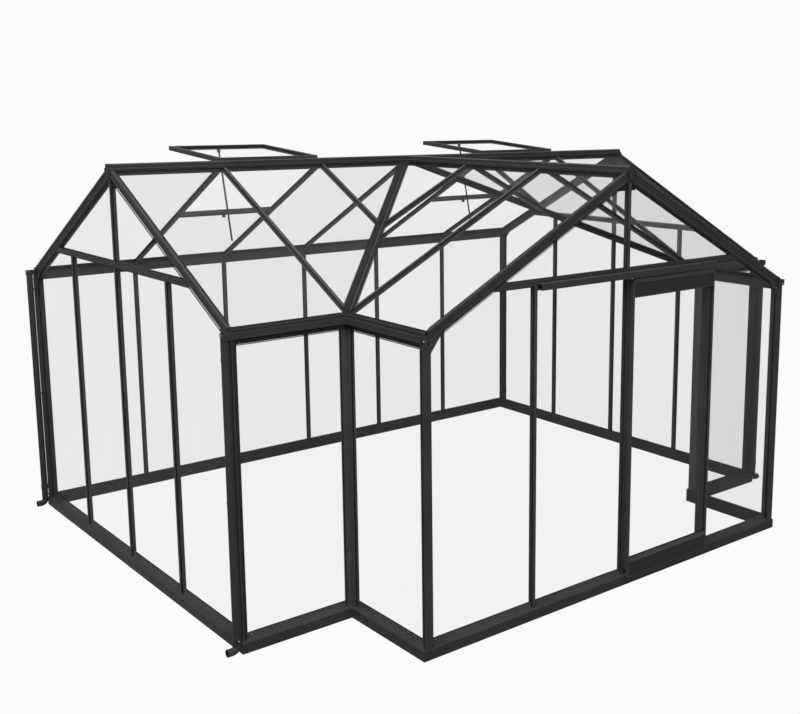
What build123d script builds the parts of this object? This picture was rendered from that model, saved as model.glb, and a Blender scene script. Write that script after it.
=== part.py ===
from build123d import *
import math
import os

# Conservatory with a T-shaped plan: glazed aluminium frame, two roof vents
# fixed open and one sliding door. Lengths are in millimetres.
# x runs along the main ridge, the wing reaches towards -y, z is up and zero
# is the underside of the sills.

# Plan and roof
bay = 735.0              # centre to centre of the glazing bars
gable_setback = 9.0      # a gable stands this much in from three whole bays
side_stand = 30.0        # a side wall stands this much out from two whole bays
pitch_deg = 27.57        # slope of every roof face
eave_bottom_z = 1696.0   # top of the walls
eave_to_bars = 54.8      # middle of the roof bars above it, over the side walls
fit = 0.2                # clearance between pieces that seat on each other
gasket = 1.5             # clearance around a pane of glass

# Glazing bars, used in walls and roofs
bar_depth = 32.0
bar_flange_w = 24.0
bar_cap_w = 20.0
bar_ledge_w = 16.0
bar_web = 5.0
bar_skin = 3.5
ledge_skin = 3.0
glass_t = 4.0
glass_inner = 8.0        # inner face of the glass, out from the middle of the bars

# Sill under every wall
sill_out = 28.0
sill_in = 20.0
sill_deck_z = 58.0
sill_top_z = 94.0
sill_shoulder_z = 80.0
sill_shoulder_e = 2.0    # the shoulder ends this far inside the bar plane
sill_top_e = 11.0        # the outer edge of the upstand, inside the bar plane
sill_skin = 3.0
sill_floor = 4.0

# Posts at the outer corners and at the inner corners
post_out = 16.0
post_in = 36.0
post_depth = 25.0
post_leg_start = 20.0
post_leg = 28.0
post_skin = 3.0
inner_post_leg = 50.0
inner_post_t = 22.0

# Eave profile with its gutter
eave_in = 16.0
eave_box_out = 8.0
eave_box_h = 26.0
eave_box_step = 4.0
trough_rise = 50.0       # floor of the trough above the top of the walls
trough_floor = 3.0
trough_h = 18.0
gutter_out = 34.0
gutter_skin = 3.0
gutter_lip_w = 7.0
fascia_drop = 18.0
eave_wall_e = 6.0
eave_wall_t = 4.0
eave_plate_in = 22.0
eave_plate_t = 4.0
gutter_overrun = 68.0    # the main gutters pass the gable planes by this much
wing_gutter_overrun = 25.0
end_cap_t = 3.0
trough_from = 28.0       # beyond this only the trough runs on to its end

# Downpipes
pipe_d = 43.0
pipe_wall = 2.0
pipe_overrun = 52.0      # pipe axis, out from the gable plane
pipe_e = 9.0             # pipe axis, out from the side wall plane
pipe_bend_r = 30.0
pipe_foot_z = 26.0
pipe_foot_x = 112.0      # the outlet ends this far out from the gable plane
collar_d = 47.0
collar_h = 34.0
collar_z = 150.0
drain_d = 28.0

# Ridge profile
ridge_cap_w = 60.0
ridge_cap_h = 19.0
ridge_crown_h = 6.0
ridge_flange_over = 15.0  # the flange beyond the cap, each side
ridge_flange_fall = 4.0
ridge_step_rise = 13.0   # foot of the cap above the middle of the roof bars
ridge_web_w = 32.0
ridge_web_drop = 36.0
ridge_overrun = 22.0
ridge_plate_t = 3.0
ridge_plate_grow = 1.5

# Gable rafters, drawn from the gable plane (positive inwards) and from a line
# just under the middle of the roof bars
rafter_line_drop = 4.0
rafter_out = 20.0
rafter_cap_in = 2.0
rafter_top = 23.0
rafter_cap_drop = 15.0
rafter_face = 16.0
rafter_slot_top = 10.0
rafter_slot_h = 6.0
rafter_slot_d = 4.0
rafter_face_bottom = 30.0
rafter_toe_out = 7.0
rafter_toe = 43.5
rafter_flange_in = 17.0
rafter_bottom = 48.5
rafter_flange_t = 5.0
rafter_web_in = 2.0
rafter_ledge_in = 12.0
rafter_ledge_t = 5.7
rafter_foot_gap = 0.3

# Valley profile between the main roof and the wing roof
valley_half = 34.0
valley_web_half = 10.0
valley_skin = 3.5
valley_cut_half = 12.5

# Transoms across the gables and the plates that tie the corners
transom_lift = 22.0      # above the underside of the door rail
transom_h = 35.0
transom_groove = 3.0
plate_t = 3.0
plate_e = 13.0
gusset_reach = 75.0
gusset_drop = 60.0
apex_half = 79.0
apex_skirt = 8.0
apex_depth = 34.0        # top of the apex plate below the rafters' line

# Roof vents, hinged beside the ridge cap and fixed open
vent_side_lap = 2.5      # the vent reaches past the middle of the bars beside it
vent_len = 757.0
vent_hinge_rise = 21.0   # hinge edge above the shoulder of the ridge cap
vent_rise_deg = 4.6
vent_frame_t = 30.0
vent_bar_w = 26.0
vent_glass_drop = 10.0
vent_lap = 19.5          # the closed vent reaches this far over its crossbar
vent_sill_w = 34.0
vent_sill_web = 12.0
vent_sill_drop = 14.0
stay_w = 12.0
stay_t = 5.0
stay_tail = 220.0
peg_w = 18.0
peg_h = 20.0
peg_gap = 3.0

# Sliding door with its top rail and its bottom guide
rail_past_bar = 7.0      # left end of the rail, short of the next bar
rail_past_leaf = 18.0
rail_gap = 7.0           # above the leaf
rail_h = 37.0
rail_out = 58.0
rail_skin = 3.0
rail_slot = 15.0
leaf_start = 12.0        # left edge of the leaf, right of the middle bar
leaf_lap_right = 22.0
leaf_clear = 5.0         # between the leaf and the sill
leaf_t = 20.0
leaf_bottom_z = 52.0
door_over_wall = 216.0   # top of the leaf above the top of the walls
stile_w = 10.0
leaf_top_rail = 26.0
head_h = 112.0
head_rail = 6.0
kick_h = 124.0
kick_rail = 28.0         # its face slopes back to the glass
leaf_bottom_rail = 8.0
panel_t = 3.0
panel_recess = 3.0
glass_recess = 14.0
fin_t = 3.0
fin_h = 10.0
top_fin_h = 13.0         # closes the slot of the rail from inside
stile_web = 4.0          # web behind the left stile, towards the middle bar
stile_web_z = 100.0      # it starts above the sill
guide_drop = 18.0        # foot of the guide below the leaf
guide_h = 12.0
guide_skin = 3.0
guide_gap = 15.0
wheel_d = 22.0
wheel_w = 10.0
wheel_gap = 5.0          # between the wheel and the hanger plate
wheel_lift = 0.3
hanger_t = 4.0
hanger_w = 40.0
hanger_inset = 90.0
axle_d = 8.0
nut_d = 14.0
nut_t = 4.0

# Values that follow from the sizes above
gable = 3 * bay - gable_setback
side = 2 * bay + side_stand
pitch = math.radians(pitch_deg)
sin_p, cos_p, tan_p = math.sin(pitch), math.cos(pitch), math.tan(pitch)
half_bar = bar_depth / 2
glass_outer = glass_inner + glass_t
cap_in = half_bar - bar_skin
web_half = bar_web / 2
ridge_line_z = eave_bottom_z + eave_to_bars + side * tan_p
roof_start = ridge_web_w / 2 + fit
roof_end = side - eave_wall_e - fit
rafter_end = side - eave_plate_in - rafter_foot_gap
eave_box_z = eave_bottom_z + eave_box_h
eave_web_e = eave_box_out - eave_box_step
trough_z = eave_bottom_z + trough_rise
gutter_lip_z = trough_z + trough_h
fascia_bottom_z = trough_z - fascia_drop
ridge_flange_w = ridge_cap_w + 2 * ridge_flange_over
ridge_cap_z = ridge_line_z + ridge_step_rise
ridge_edge_z = ridge_cap_z + ridge_cap_h
ridge_top_z = ridge_edge_z + ridge_crown_h
ridge_flange_z = ridge_cap_z - ridge_flange_fall
ridge_bottom_z = ridge_line_z - ridge_web_drop
vent_half = bay / 2 + vent_side_lap
rise = math.radians(vent_rise_deg)
vent_hinge_top_z = ridge_edge_z + vent_hinge_rise
vent_run0 = ridge_cap_w / 2 + fit - vent_hinge_rise * math.sin(rise)
vent_sill_run = vent_run0 + vent_len * cos_p - vent_lap
leaf_from = leaf_start
leaf_to = bay + leaf_lap_right
leaf_in = sill_out + leaf_clear
leaf_out = leaf_in + leaf_t
leaf_mid = (leaf_in + leaf_out) / 2
leaf_top_z = eave_bottom_z + door_over_wall
head_bottom_z = leaf_top_z - head_h
kick_top_z = leaf_bottom_z + kick_h
guide_bottom_z = leaf_bottom_z - guide_drop
hanger_from = leaf_mid - hanger_t / 2
rail_slot_from = leaf_mid - rail_slot / 2
rail_slot_to = leaf_mid + rail_slot / 2
wheel_from = hanger_from - wheel_gap - wheel_w
rail_bottom_z = leaf_top_z + rail_gap
rail_top = rail_bottom_z + rail_h
rail_left = bay - rail_past_bar
rail_right = leaf_to + rail_past_leaf
transom_z = rail_bottom_z + transom_lift
transom_top = transom_z + transom_h
# working bounds for the blocks that trim long pieces
far = 3 * gable
low = eave_bottom_z / 2
high = 2 * ridge_line_z
# the model stands with the middle of its outline at y = 0
front_reach = gable + rail_out
back_reach = side + gutter_out
centre_y = (front_reach - back_reach) / 2


def bar_z(run):
    """Height of the middle of the roof bars at a distance from the ridge."""
    return ridge_line_z - run * tan_p


def prism(points, plane, length):
    """A closed outline drawn in the plane and pushed along its normal."""
    return extrude(plane * Polygon(*points, align=None), amount=length, dir=tuple(plane.z_dir))


def block(x0, x1, y0, y1, z0, z1):
    """A straight block between two corners."""
    centre = Location(((x0 + x1) / 2, (y0 + y1) / 2, (z0 + z1) / 2))
    return centre * Box(abs(x1 - x0), abs(y1 - y0), abs(z1 - z0))


def column(points, z0, z1):
    """A plan outline pushed up from z0 to z1."""
    return prism(points, Plane.XY.offset(z0), z1 - z0)


def turn(shape, angle):
    """The shape turned about the point where the ridges cross."""
    return Rot(0, 0, angle) * shape


def flip(shape):
    """The shape mirrored from left to right."""
    return mirror(shape, about=Plane.YZ)


# Each arm of the plan is drawn as the wing and turned into place.
ARMS = {"wing": 0, "left": -90, "right": 90}

# Walls, clockwise from the back: start, end and outward direction
WALLS = [
    ("back", (-gable, side), (gable, side), (0, 1)),
    ("right", (gable, side), (gable, -side), (1, 0)),
    ("right_front", (gable, -side), (side, -side), (0, -1)),
    ("wing_right", (side, -side), (side, -gable), (1, 0)),
    ("wing_front", (side, -gable), (-side, -gable), (0, -1)),
    ("wing_left", (-side, -gable), (-side, -side), (-1, 0)),
    ("left_front", (-side, -side), (-gable, -side), (0, -1)),
    ("left", (-gable, -side), (-gable, side), (-1, 0)),
]
WALL_NAMES = [wall[0] for wall in WALLS]
MITRE_REACH = 60.0


def wall_plane(start, out, back_off):
    """Plane across a wall: x points outwards, y up, and z runs along it."""
    along = (out[1], -out[0])
    origin = (start[0] - along[0] * back_off, start[1] - along[1] * back_off, 0)
    return Plane(origin=origin, x_dir=(out[0], out[1], 0), z_dir=(along[0], along[1], 0))


def along_wall(name, face, start_free=None, end_free=None):
    """A profile run along a wall, mitred at its corners unless an end is free."""
    index = WALL_NAMES.index(name)
    _, start, end, out = WALLS[index]
    before = WALLS[index - 1][3]
    after = WALLS[(index + 1) % len(WALLS)][3]
    along = (out[1], -out[0])
    length = abs(end[0] - start[0]) + abs(end[1] - start[1])
    lead = MITRE_REACH if start_free is None else start_free
    tail = MITRE_REACH if end_free is None else end_free
    plane = wall_plane(start, out, lead)
    run = extrude(plane * face, amount=length + lead + tail, dir=tuple(plane.z_dir))
    cut = MITRE_REACH + 40
    if start_free is None:
        lean0 = (before[0] + out[0], before[1] + out[1])
    else:
        lean0 = out
    if end_free is None:
        lean1 = (after[0] + out[0], after[1] + out[1])
    else:
        lean1 = out
    gap0 = fit / 2 if start_free is None else -start_free - 1
    gap1 = fit / 2 if end_free is None else -end_free - 1
    p = (start[0] + along[0] * gap0, start[1] + along[1] * gap0)
    q = (end[0] - along[0] * gap1, end[1] - along[1] * gap1)
    plan = [
        (p[0] - lean0[0] * cut, p[1] - lean0[1] * cut),
        (p[0] + lean0[0] * cut, p[1] + lean0[1] * cut),
        (q[0] + lean1[0] * cut, q[1] + lean1[1] * cut),
        (q[0] - lean1[0] * cut, q[1] - lean1[1] * cut),
    ]
    return run & column(plan, -10, high)


# Profiles
BAR = [
    (-bar_flange_w / 2, -half_bar),
    (bar_flange_w / 2, -half_bar),
    (bar_flange_w / 2, -half_bar + bar_skin),
    (web_half, -half_bar + bar_skin),
    (web_half, glass_inner - 0.5 - ledge_skin),
    (bar_ledge_w / 2, glass_inner - 0.5 - ledge_skin),
    (bar_ledge_w / 2, glass_inner - 0.5),
    (web_half, glass_inner - 0.5),
    (web_half, cap_in),
    (bar_cap_w / 2, cap_in),
    (bar_cap_w / 2, half_bar),
    (-bar_cap_w / 2, half_bar),
    (-bar_cap_w / 2, cap_in),
    (-web_half, cap_in),
    (-web_half, glass_inner - 0.5),
    (-bar_ledge_w / 2, glass_inner - 0.5),
    (-bar_ledge_w / 2, glass_inner - 0.5 - ledge_skin),
    (-web_half, glass_inner - 0.5 - ledge_skin),
    (-web_half, -half_bar + bar_skin),
    (-bar_flange_w / 2, -half_bar + bar_skin),
]


def sill_outline(extra=0.0):
    """The sill's section, grown where others keep clear of it."""
    return [
        (-sill_in - extra, -extra),
        (sill_out + extra, -extra),
        (sill_out + extra, sill_deck_z + extra),
        (-sill_shoulder_e + extra, sill_shoulder_z + extra),
        (-sill_top_e + extra, sill_top_z + extra),
        (-sill_in - extra, sill_top_z + extra),
    ]


SILL_ROOM = [
    (-sill_in + sill_skin, sill_skin),
    (sill_out - sill_skin, sill_skin),
    (sill_out - sill_skin, sill_deck_z - sill_floor),
    (-sill_in + sill_skin, sill_deck_z - sill_floor),
]


def eave_slope(e, rise):
    """Height on the roof at a distance outside the side wall, square to the slope."""
    return bar_z(side + e) + rise / cos_p


EAVE_TOP = half_bar + 0.1
EAVE = [
    (-eave_in, eave_bottom_z),
    (eave_box_out, eave_bottom_z),
    (eave_box_out, eave_box_z),
    (eave_web_e, eave_box_z + eave_box_step),
    (eave_web_e, trough_z - trough_floor),
    (gutter_out - gutter_skin, trough_z - trough_floor),
    (gutter_out - gutter_skin, fascia_bottom_z),
    (gutter_out, fascia_bottom_z),
    (gutter_out, gutter_lip_z),
    (gutter_out - gutter_lip_w, gutter_lip_z),
    (gutter_out - gutter_lip_w, gutter_lip_z - gutter_skin),
    (gutter_out - gutter_skin, gutter_lip_z - gutter_skin),
    (gutter_out - gutter_skin, trough_z),
    (eave_wall_t - eave_wall_e, trough_z),
    (eave_wall_t - eave_wall_e, eave_slope(eave_wall_t - eave_wall_e, EAVE_TOP + eave_plate_t)),
    (-eave_plate_in, eave_slope(-eave_plate_in, EAVE_TOP + eave_plate_t)),
    (-eave_plate_in, eave_slope(-eave_plate_in, EAVE_TOP)),
    (-eave_wall_e, eave_slope(-eave_wall_e, EAVE_TOP)),
    (-eave_wall_e, eave_slope(-eave_wall_e, -half_bar - fit)),
    (-eave_in, eave_slope(-eave_in, -half_bar - fit)),
]
EAVE_ROOM = [
    (-eave_in + gutter_skin, eave_bottom_z + gutter_skin),
    (eave_web_e - gutter_skin, eave_bottom_z + gutter_skin),
    (eave_web_e - gutter_skin, eave_slope(-eave_wall_e, -half_bar - fit) - gutter_skin),
    (-eave_in + gutter_skin, eave_slope(-eave_wall_e, -half_bar - fit) - gutter_skin),
]
TROUGH_CAP = [
    (-eave_wall_e, trough_z - trough_floor),
    (gutter_out - gutter_skin, trough_z - trough_floor),
    (gutter_out - gutter_skin, fascia_bottom_z),
    (gutter_out, fascia_bottom_z),
    (gutter_out, gutter_lip_z),
    (-eave_wall_e, gutter_lip_z),
]
WING_CAP = [
    (-eave_in, eave_bottom_z),
    (eave_box_out, eave_bottom_z),
    (eave_box_out, eave_box_z),
    (gutter_out, fascia_bottom_z),
    (gutter_out, gutter_lip_z),
    (-eave_in, gutter_lip_z),
]

ridge_under = ridge_line_z + (half_bar + fit) / cos_p


def ridge_outline(extra=0.0):
    """The ridge's section, grown where others keep clear of it."""
    cap = ridge_cap_w / 2 + extra
    flange = ridge_flange_w / 2 + extra
    web = ridge_web_w / 2 + extra
    half = [
        (0, ridge_top_z + extra),
        (cap, ridge_edge_z + extra),
        (cap, ridge_cap_z + extra),
        (flange, ridge_flange_z + extra),
        (flange, ridge_under - extra - flange * tan_p),
        (web, ridge_under - extra - web * tan_p),
        (web, ridge_bottom_z - extra),
    ]
    return half + [(-a, z) for a, z in reversed(half[1:])]


RAFTER = [
    (-rafter_out, rafter_top),
    (-rafter_out, rafter_top - rafter_cap_drop),
    (-rafter_face, rafter_top - rafter_cap_drop),
    (-rafter_face, -rafter_slot_top),
    (-rafter_face + rafter_slot_d, -rafter_slot_top),
    (-rafter_face + rafter_slot_d, -rafter_slot_top - rafter_slot_h),
    (-rafter_face, -rafter_slot_top - rafter_slot_h),
    (-rafter_face, -rafter_face_bottom),
    (-rafter_toe_out, -rafter_toe),
    (-rafter_web_in, -rafter_toe),
    (-rafter_web_in, -rafter_bottom),
    (rafter_flange_in, -rafter_bottom),
    (rafter_flange_in, -rafter_bottom + rafter_flange_t),
    (rafter_web_in, -rafter_bottom + rafter_flange_t),
    (rafter_web_in, glass_inner - rafter_ledge_t),
    (rafter_ledge_in, glass_inner - rafter_ledge_t),
    (rafter_ledge_in, glass_inner - 0.3),
    (-rafter_cap_in, glass_inner - 0.3),
    (-rafter_cap_in, rafter_top),
]
# what bars, transoms and plates of a gable keep clear of
RAFTER_KEEP = [
    (-60, 90),
    (-60, -rafter_toe - fit),
    (-rafter_web_in - fit, -rafter_toe - fit),
    (-rafter_web_in - fit, -rafter_bottom - fit),
    (60, -rafter_bottom - fit),
    (60, 90),
]


def slope_plane(down, run, rise=0.0, drop=0.0):
    """Plane across a roof face: x is level, y square to the face, z downhill."""
    normal = Vector(down[0] * sin_p, down[1] * sin_p, cos_p)
    downhill = Vector(down[0] * cos_p, down[1] * cos_p, -sin_p)
    level = normal.cross(downhill)
    foot = Vector(down[0] * run, down[1] * run, bar_z(run) - drop)
    return Plane(origin=foot + normal * rise, x_dir=level, z_dir=downhill)


def between_runs(down, run0, run1):
    """A block that holds everything between two distances from the ridge."""
    if down[0] == 0:
        y0, y1 = sorted((down[1] * run0, down[1] * run1))
        return block(-far, far, y0, y1, low, high)
    x0, x1 = sorted((down[0] * run0, down[0] * run1))
    return block(x0, x1, -far, far, low, high)


def roof_bar(down, at, run1=None):
    """One glazing bar of a roof face, at a distance along its ridge."""
    last = roof_end if run1 is None else run1
    plane = slope_plane(down, 0)
    plane = Plane(origin=plane.origin + plane.x_dir * at, x_dir=plane.x_dir, z_dir=plane.z_dir)
    long_bar = prism(BAR, plane, (last + 200) / cos_p)
    return long_bar & between_runs(down, roof_start, last)


def roof_pane(down, outline, rise=glass_inner, thick=glass_t):
    """A sheet on a roof face; outline gives level position and run from the ridge."""
    frame = slope_plane(down, 0)
    shift = rise * sin_p
    flat = Plane(
        origin=frame.origin + frame.y_dir * rise,
        x_dir=frame.x_dir,
        z_dir=frame.x_dir.cross(frame.z_dir),
    )
    points = [(at, (run - shift) / cos_p) for at, run in outline]
    sheet = extrude(flat * Polygon(*points, align=None), amount=thick, dir=tuple(frame.y_dir))
    return sheet


def wall_bar(top_z):
    """A glazing bar of the wing gable, standing at x = 0."""
    plane = Plane(origin=(0, -gable, sill_deck_z), x_dir=(-1, 0, 0), z_dir=(0, 0, 1))
    return prism(BAR, plane, top_z - sill_deck_z)


# Pieces of one arm, drawn at the wing gable
sill_keep = along_wall(
    "wing_front", Polygon(*sill_outline(fit), align=None), MITRE_REACH, MITRE_REACH
)


def rafter(outline, run1, run0=0.0):
    """A profile run down the left slope of the wing gable."""
    down = (-1, 0)
    base = slope_plane(down, 0, 0.0, rafter_line_drop)
    # level direction of this slope points along +y or -y; draw inwards as +x
    inward = Vector(0, 1, 0)
    plane = Plane(
        origin=Vector(0, -gable, base.origin.Z) - base.z_dir * 150,
        x_dir=inward,
        z_dir=base.z_dir,
    )
    sign = 1 if plane.y_dir.Z > 0 else -1
    points = [(a, sign * n) for a, n in outline]
    run = prism(points, plane, 150 + (run1 + 150) / cos_p)
    return run & block(-run1, -run0, -gable - 80, -gable + 80, low, high)


ridge_face = Polygon(*ridge_outline(), align=None)
ridge_keep_face = Polygon(*ridge_outline(fit), align=None)
ridge_end_face = Polygon(*ridge_outline(ridge_plate_grow), align=None)
main_ridge_plane = Plane(origin=(-gable - ridge_overrun, 0, 0), x_dir=(0, -1, 0), z_dir=(1, 0, 0))
if main_ridge_plane.y_dir.Z < 0:
    main_ridge_plane = Plane(origin=main_ridge_plane.origin, x_dir=(0, 1, 0), z_dir=(1, 0, 0))
main_ridge = extrude(
    main_ridge_plane * ridge_face, amount=2 * (gable + ridge_overrun), dir=(1, 0, 0)
)
main_ridge_keep = extrude(
    main_ridge_plane * ridge_keep_face, amount=2 * (gable + ridge_overrun), dir=(1, 0, 0)
)
wing_plane = Plane(origin=(0, 0, 0), x_dir=(-1, 0, 0), z_dir=(0, -1, 0))
if wing_plane.y_dir.Z < 0:
    wing_plane = Plane(origin=(0, 0, 0), x_dir=(1, 0, 0), z_dir=(0, -1, 0))
wing_ridge_long = extrude(wing_plane * ridge_face, amount=gable + ridge_overrun, dir=(0, -1, 0))
wing_ridge_keep = extrude(
    wing_plane * ridge_keep_face, amount=gable + ridge_overrun, dir=(0, -1, 0)
)
wing_ridge = max((wing_ridge_long - main_ridge_keep).solids(), key=lambda solid: solid.volume)
end_plane = Plane(
    origin=(0, -gable - ridge_overrun - fit / 2, 0), x_dir=wing_plane.x_dir, z_dir=(0, -1, 0)
)
ridge_end_plate = extrude(end_plane * ridge_end_face, amount=ridge_plate_t, dir=(0, -1, 0))

left_rafter = rafter(RAFTER, rafter_end, fit / 2) - wing_ridge_keep
right_rafter = flip(left_rafter)
keep_left = rafter(RAFTER_KEEP, side + 100, -40)
keep_right = flip(keep_left)

# Eave-corner plates and the plate under the ridge
toe_z = bar_z(0) - rafter_line_drop - (rafter_toe + fit) / cos_p
gusset_run = side - post_in - fit
gusset_points = [
    (-gusset_run, toe_z - gusset_run * tan_p - gusset_drop),
    (-gusset_run, toe_z - gusset_run * tan_p),
    (-(gusset_run - gusset_reach), toe_z - (gusset_run - gusset_reach) * tan_p),
]
plate_plane = Plane(origin=(0, -gable - plate_e, 0), x_dir=(1, 0, 0), z_dir=(0, -1, 0))
left_gusset = prism(gusset_points, plate_plane, plate_t)
apex_line_z = bar_z(0) - rafter_line_drop
apex_bottom_z = apex_line_z - rafter_bottom / cos_p - apex_half * tan_p - apex_skirt
apex_rim_z = apex_line_z - apex_depth / cos_p
apex_points = [
    (-apex_half, apex_bottom_z),
    (apex_half, apex_bottom_z),
    (apex_half, apex_rim_z - apex_half * tan_p),
    (0, apex_rim_z),
    (-apex_half, apex_rim_z - apex_half * tan_p),
]
apex_plane = Plane(
    origin=(0, -gable + rafter_flange_in + fit + plate_t, 0), x_dir=(1, 0, 0), z_dir=(0, -1, 0)
)
apex_plate = prism(apex_points, apex_plane, plate_t)

# Corner post of the wing's left corner
post_bottom = sill_deck_z + fit
post_top = eave_bottom_z - fit
post_main = (-side - post_out, -side + post_in, -gable - post_depth, -gable)
post_leg_plan = (-side + post_leg_start, -side + post_in, -gable, -gable + post_leg)


def post_shape(extra, z0, z1):
    """The post's outline, grown by a little where others keep clear of it."""
    main = block(
        post_main[0] - extra, post_main[1] + extra,
        post_main[2] - extra, post_main[3] + extra, z0, z1,
    )
    leg = block(
        post_leg_plan[0] - extra, post_leg_plan[1] + extra,
        post_leg_plan[2] - extra, post_leg_plan[3] + extra, z0, z1,
    )
    return main + leg


post_room = block(
    post_main[0] + post_skin, post_main[1] - post_skin,
    post_main[2] + post_skin, post_main[3] - post_skin, 0, high,
)
leg_room = block(
    post_leg_plan[0] + post_skin, post_leg_plan[1] - post_skin,
    post_leg_plan[2] + post_skin, post_leg_plan[3] + 1, 0, high,
)
post_head_top = toe_z - (side - post_in) * tan_p
post_head = post_shape(0, post_top - 1, post_head_top) & block(
    -side + eave_in + fit, 0, -gable - post_depth, -gable + post_leg, low, high
)
left_post = post_shape(0, post_bottom, post_top) + post_head
left_post = left_post - keep_left - post_room - leg_room
left_post = max(left_post.solids(), key=lambda solid: solid.volume)
post_notch = post_shape(fit, sill_deck_z, sill_top_z + 20)

# Gable bars: the middle one reaches the ridge, the others stop at the transom
centre_bar = wall_bar(ridge_bottom_z - fit) - sill_keep - keep_left - keep_right
short_bar = wall_bar(transom_z - fit) - sill_keep
centre_bar_keep = block(
    -bar_flange_w / 2 - fit, bar_flange_w / 2 + fit, -gable - 40, -gable + 40, 0, high
)
transom_profile = [
    (-half_bar, transom_z),
    (half_bar, transom_z),
    (half_bar, transom_z + transom_h / 2 - transom_groove / 2),
    (half_bar - transom_groove, transom_z + transom_h / 2),
    (half_bar, transom_z + transom_h / 2 + transom_groove / 2),
    (half_bar, transom_top),
    (-half_bar, transom_top),
]
transom_half = (toe_z - transom_z) / tan_p + half_bar
transom_plane = wall_plane((transom_half, -gable), (0, -1), 0)
transom_long = prism(transom_profile, transom_plane, 2 * transom_half)
transom = transom_long - keep_left - keep_right - centre_bar_keep


def foot_z(e):
    """Height of the sill's shoulder under something at a distance e."""
    share = (sill_out - e) / (sill_out + sill_shoulder_e)
    return sill_deck_z + share * (sill_shoulder_z - sill_deck_z)


glass_foot = foot_z(glass_inner) + fit
glass_plane = Plane(origin=(0, -gable - glass_inner, 0), x_dir=(1, 0, 0), z_dir=(0, -1, 0))


def gable_pane(points):
    """A pane in the plane of the wing gable's glass."""
    return prism(points, glass_plane, glass_t)


def rafter_under(run):
    """Height of the top edge of the gable glass at a distance from the middle."""
    return toe_z - gasket - run * tan_p


pane_edge = side - post_in - gasket
web_gap = web_half + gasket
lower_top = transom_z - gasket
cut_run = (toe_z - gasket - lower_top) / tan_p
side_pane = [
    (-pane_edge, glass_foot),
    (-bay - web_gap, glass_foot),
    (-bay - web_gap, lower_top),
    (-cut_run, lower_top),
    (-pane_edge, rafter_under(pane_edge)),
]
mid_pane = [
    (-bay + web_gap, glass_foot),
    (-web_gap, glass_foot),
    (-web_gap, lower_top),
    (-bay + web_gap, lower_top),
]
upper_foot = transom_top + gasket
upper_run = (toe_z - gasket - upper_foot) / tan_p
upper_pane = [
    (-upper_run, upper_foot),
    (-web_gap, upper_foot),
    (-web_gap, rafter_under(web_gap)),
]
left_side_pane = gable_pane(side_pane)
left_mid_pane = gable_pane(mid_pane)
left_upper_pane = gable_pane(upper_pane)
gable_glass = {
    "closed": [
        left_side_pane, left_mid_pane, left_upper_pane,
        flip(left_side_pane), flip(left_mid_pane), flip(left_upper_pane),
    ],
    "door": [
        left_side_pane, left_mid_pane, left_upper_pane,
        flip(left_side_pane), flip(left_upper_pane),
    ],
}

# Sills with the seats of the posts cut into them
sill_face = Polygon(*sill_outline(), align=None) - Polygon(*SILL_ROOM, align=None)
corner_notches = []
for arm_angle in ARMS.values():
    corner_notches.append(turn(post_notch, arm_angle))
    corner_notches.append(turn(flip(post_notch), arm_angle))


def inner_post_shape(extra, z0, z1):
    """Angle post at the left inner corner of the plan."""
    half = inner_post_t / 2 + extra
    far = inner_post_leg + extra
    one = block(-side - far, -side + half, -side - half, -side + half, z0, z1)
    two = block(-side - half, -side + half, -side - far, -side + half, z0, z1)
    return one + two


inner_post = inner_post_shape(0, post_bottom, eave_bottom_z - fit)
inner_notch = inner_post_shape(fit, sill_deck_z, sill_top_z + 20)
inner_notches = [inner_notch, flip(inner_notch)]


def sill(name):
    """The sill of one wall."""
    shape = along_wall(name, sill_face)
    box = shape.bounding_box()
    for notch in corner_notches + inner_notches:
        other = notch.bounding_box()
        apart_x = other.min.X > box.max.X or other.max.X < box.min.X
        apart_y = other.min.Y > box.max.Y or other.max.Y < box.min.Y
        if not apart_x and not apart_y:
            shape = shape - notch
    return shape


# Eaves and gutters, with a drain over each pipe
eave_face = Polygon(*EAVE, align=None) - Polygon(*EAVE_ROOM, align=None)
pipe_x = gable + pipe_overrun
drains = []
for sx in (-1, 1):
    for y in (side + pipe_e, -side - pipe_e):
        drains.append(Location((sx * pipe_x, y, trough_z)) * Cylinder(drain_d / 2, 140))


def beyond_gables(distance, run0, run1, z0, z1):
    """Blocks outside the left and the right gable, between two runs on both slopes."""
    cut = []
    for y0, y1 in ((run0, run1), (-run1, -run0)):
        cut.append(block(-far, -gable - distance, y0, y1, z0, z1))
        cut.append(block(gable + distance, far, y0, y1, z0, z1))
    return cut


trough_cuts = drains + beyond_gables(
    trough_from, 0, side + gutter_out - gutter_skin, low, trough_z - trough_floor
)
trough_cuts = trough_cuts + beyond_gables(trough_from, 0, side - eave_wall_e, low, high)
trough_cuts = trough_cuts + beyond_gables(rafter_out + fit, 0, side + far, gutter_lip_z, high)


def open_trough(gutter):
    """A gutter of the main roof with its drains and with its trough standing free."""
    for cut in trough_cuts:
        gutter = gutter - cut
    return gutter


back_gutter = open_trough(along_wall("back", eave_face, gutter_overrun, gutter_overrun))
left_front_gutter = open_trough(along_wall("left_front", eave_face, None, gutter_overrun))
right_front_gutter = flip(left_front_gutter)
left_wing_gutter = along_wall("wing_left", eave_face, wing_gutter_overrun, None)
left_wing_gutter = left_wing_gutter - block(
    -far, far, -far, -gable - rafter_out - fit, gutter_lip_z, high
)
right_wing_gutter = flip(left_wing_gutter)


def end_cap(name, at_start, overrun, outline):
    """Plate that closes the free end of a gutter."""
    _, start, end, out = WALLS[WALL_NAMES.index(name)]
    if at_start:
        plane = wall_plane(start, out, overrun + fit / 2 + end_cap_t)
    else:
        plane = wall_plane(end, out, -overrun - fit / 2)
    return prism(outline, plane, end_cap_t)


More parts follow.
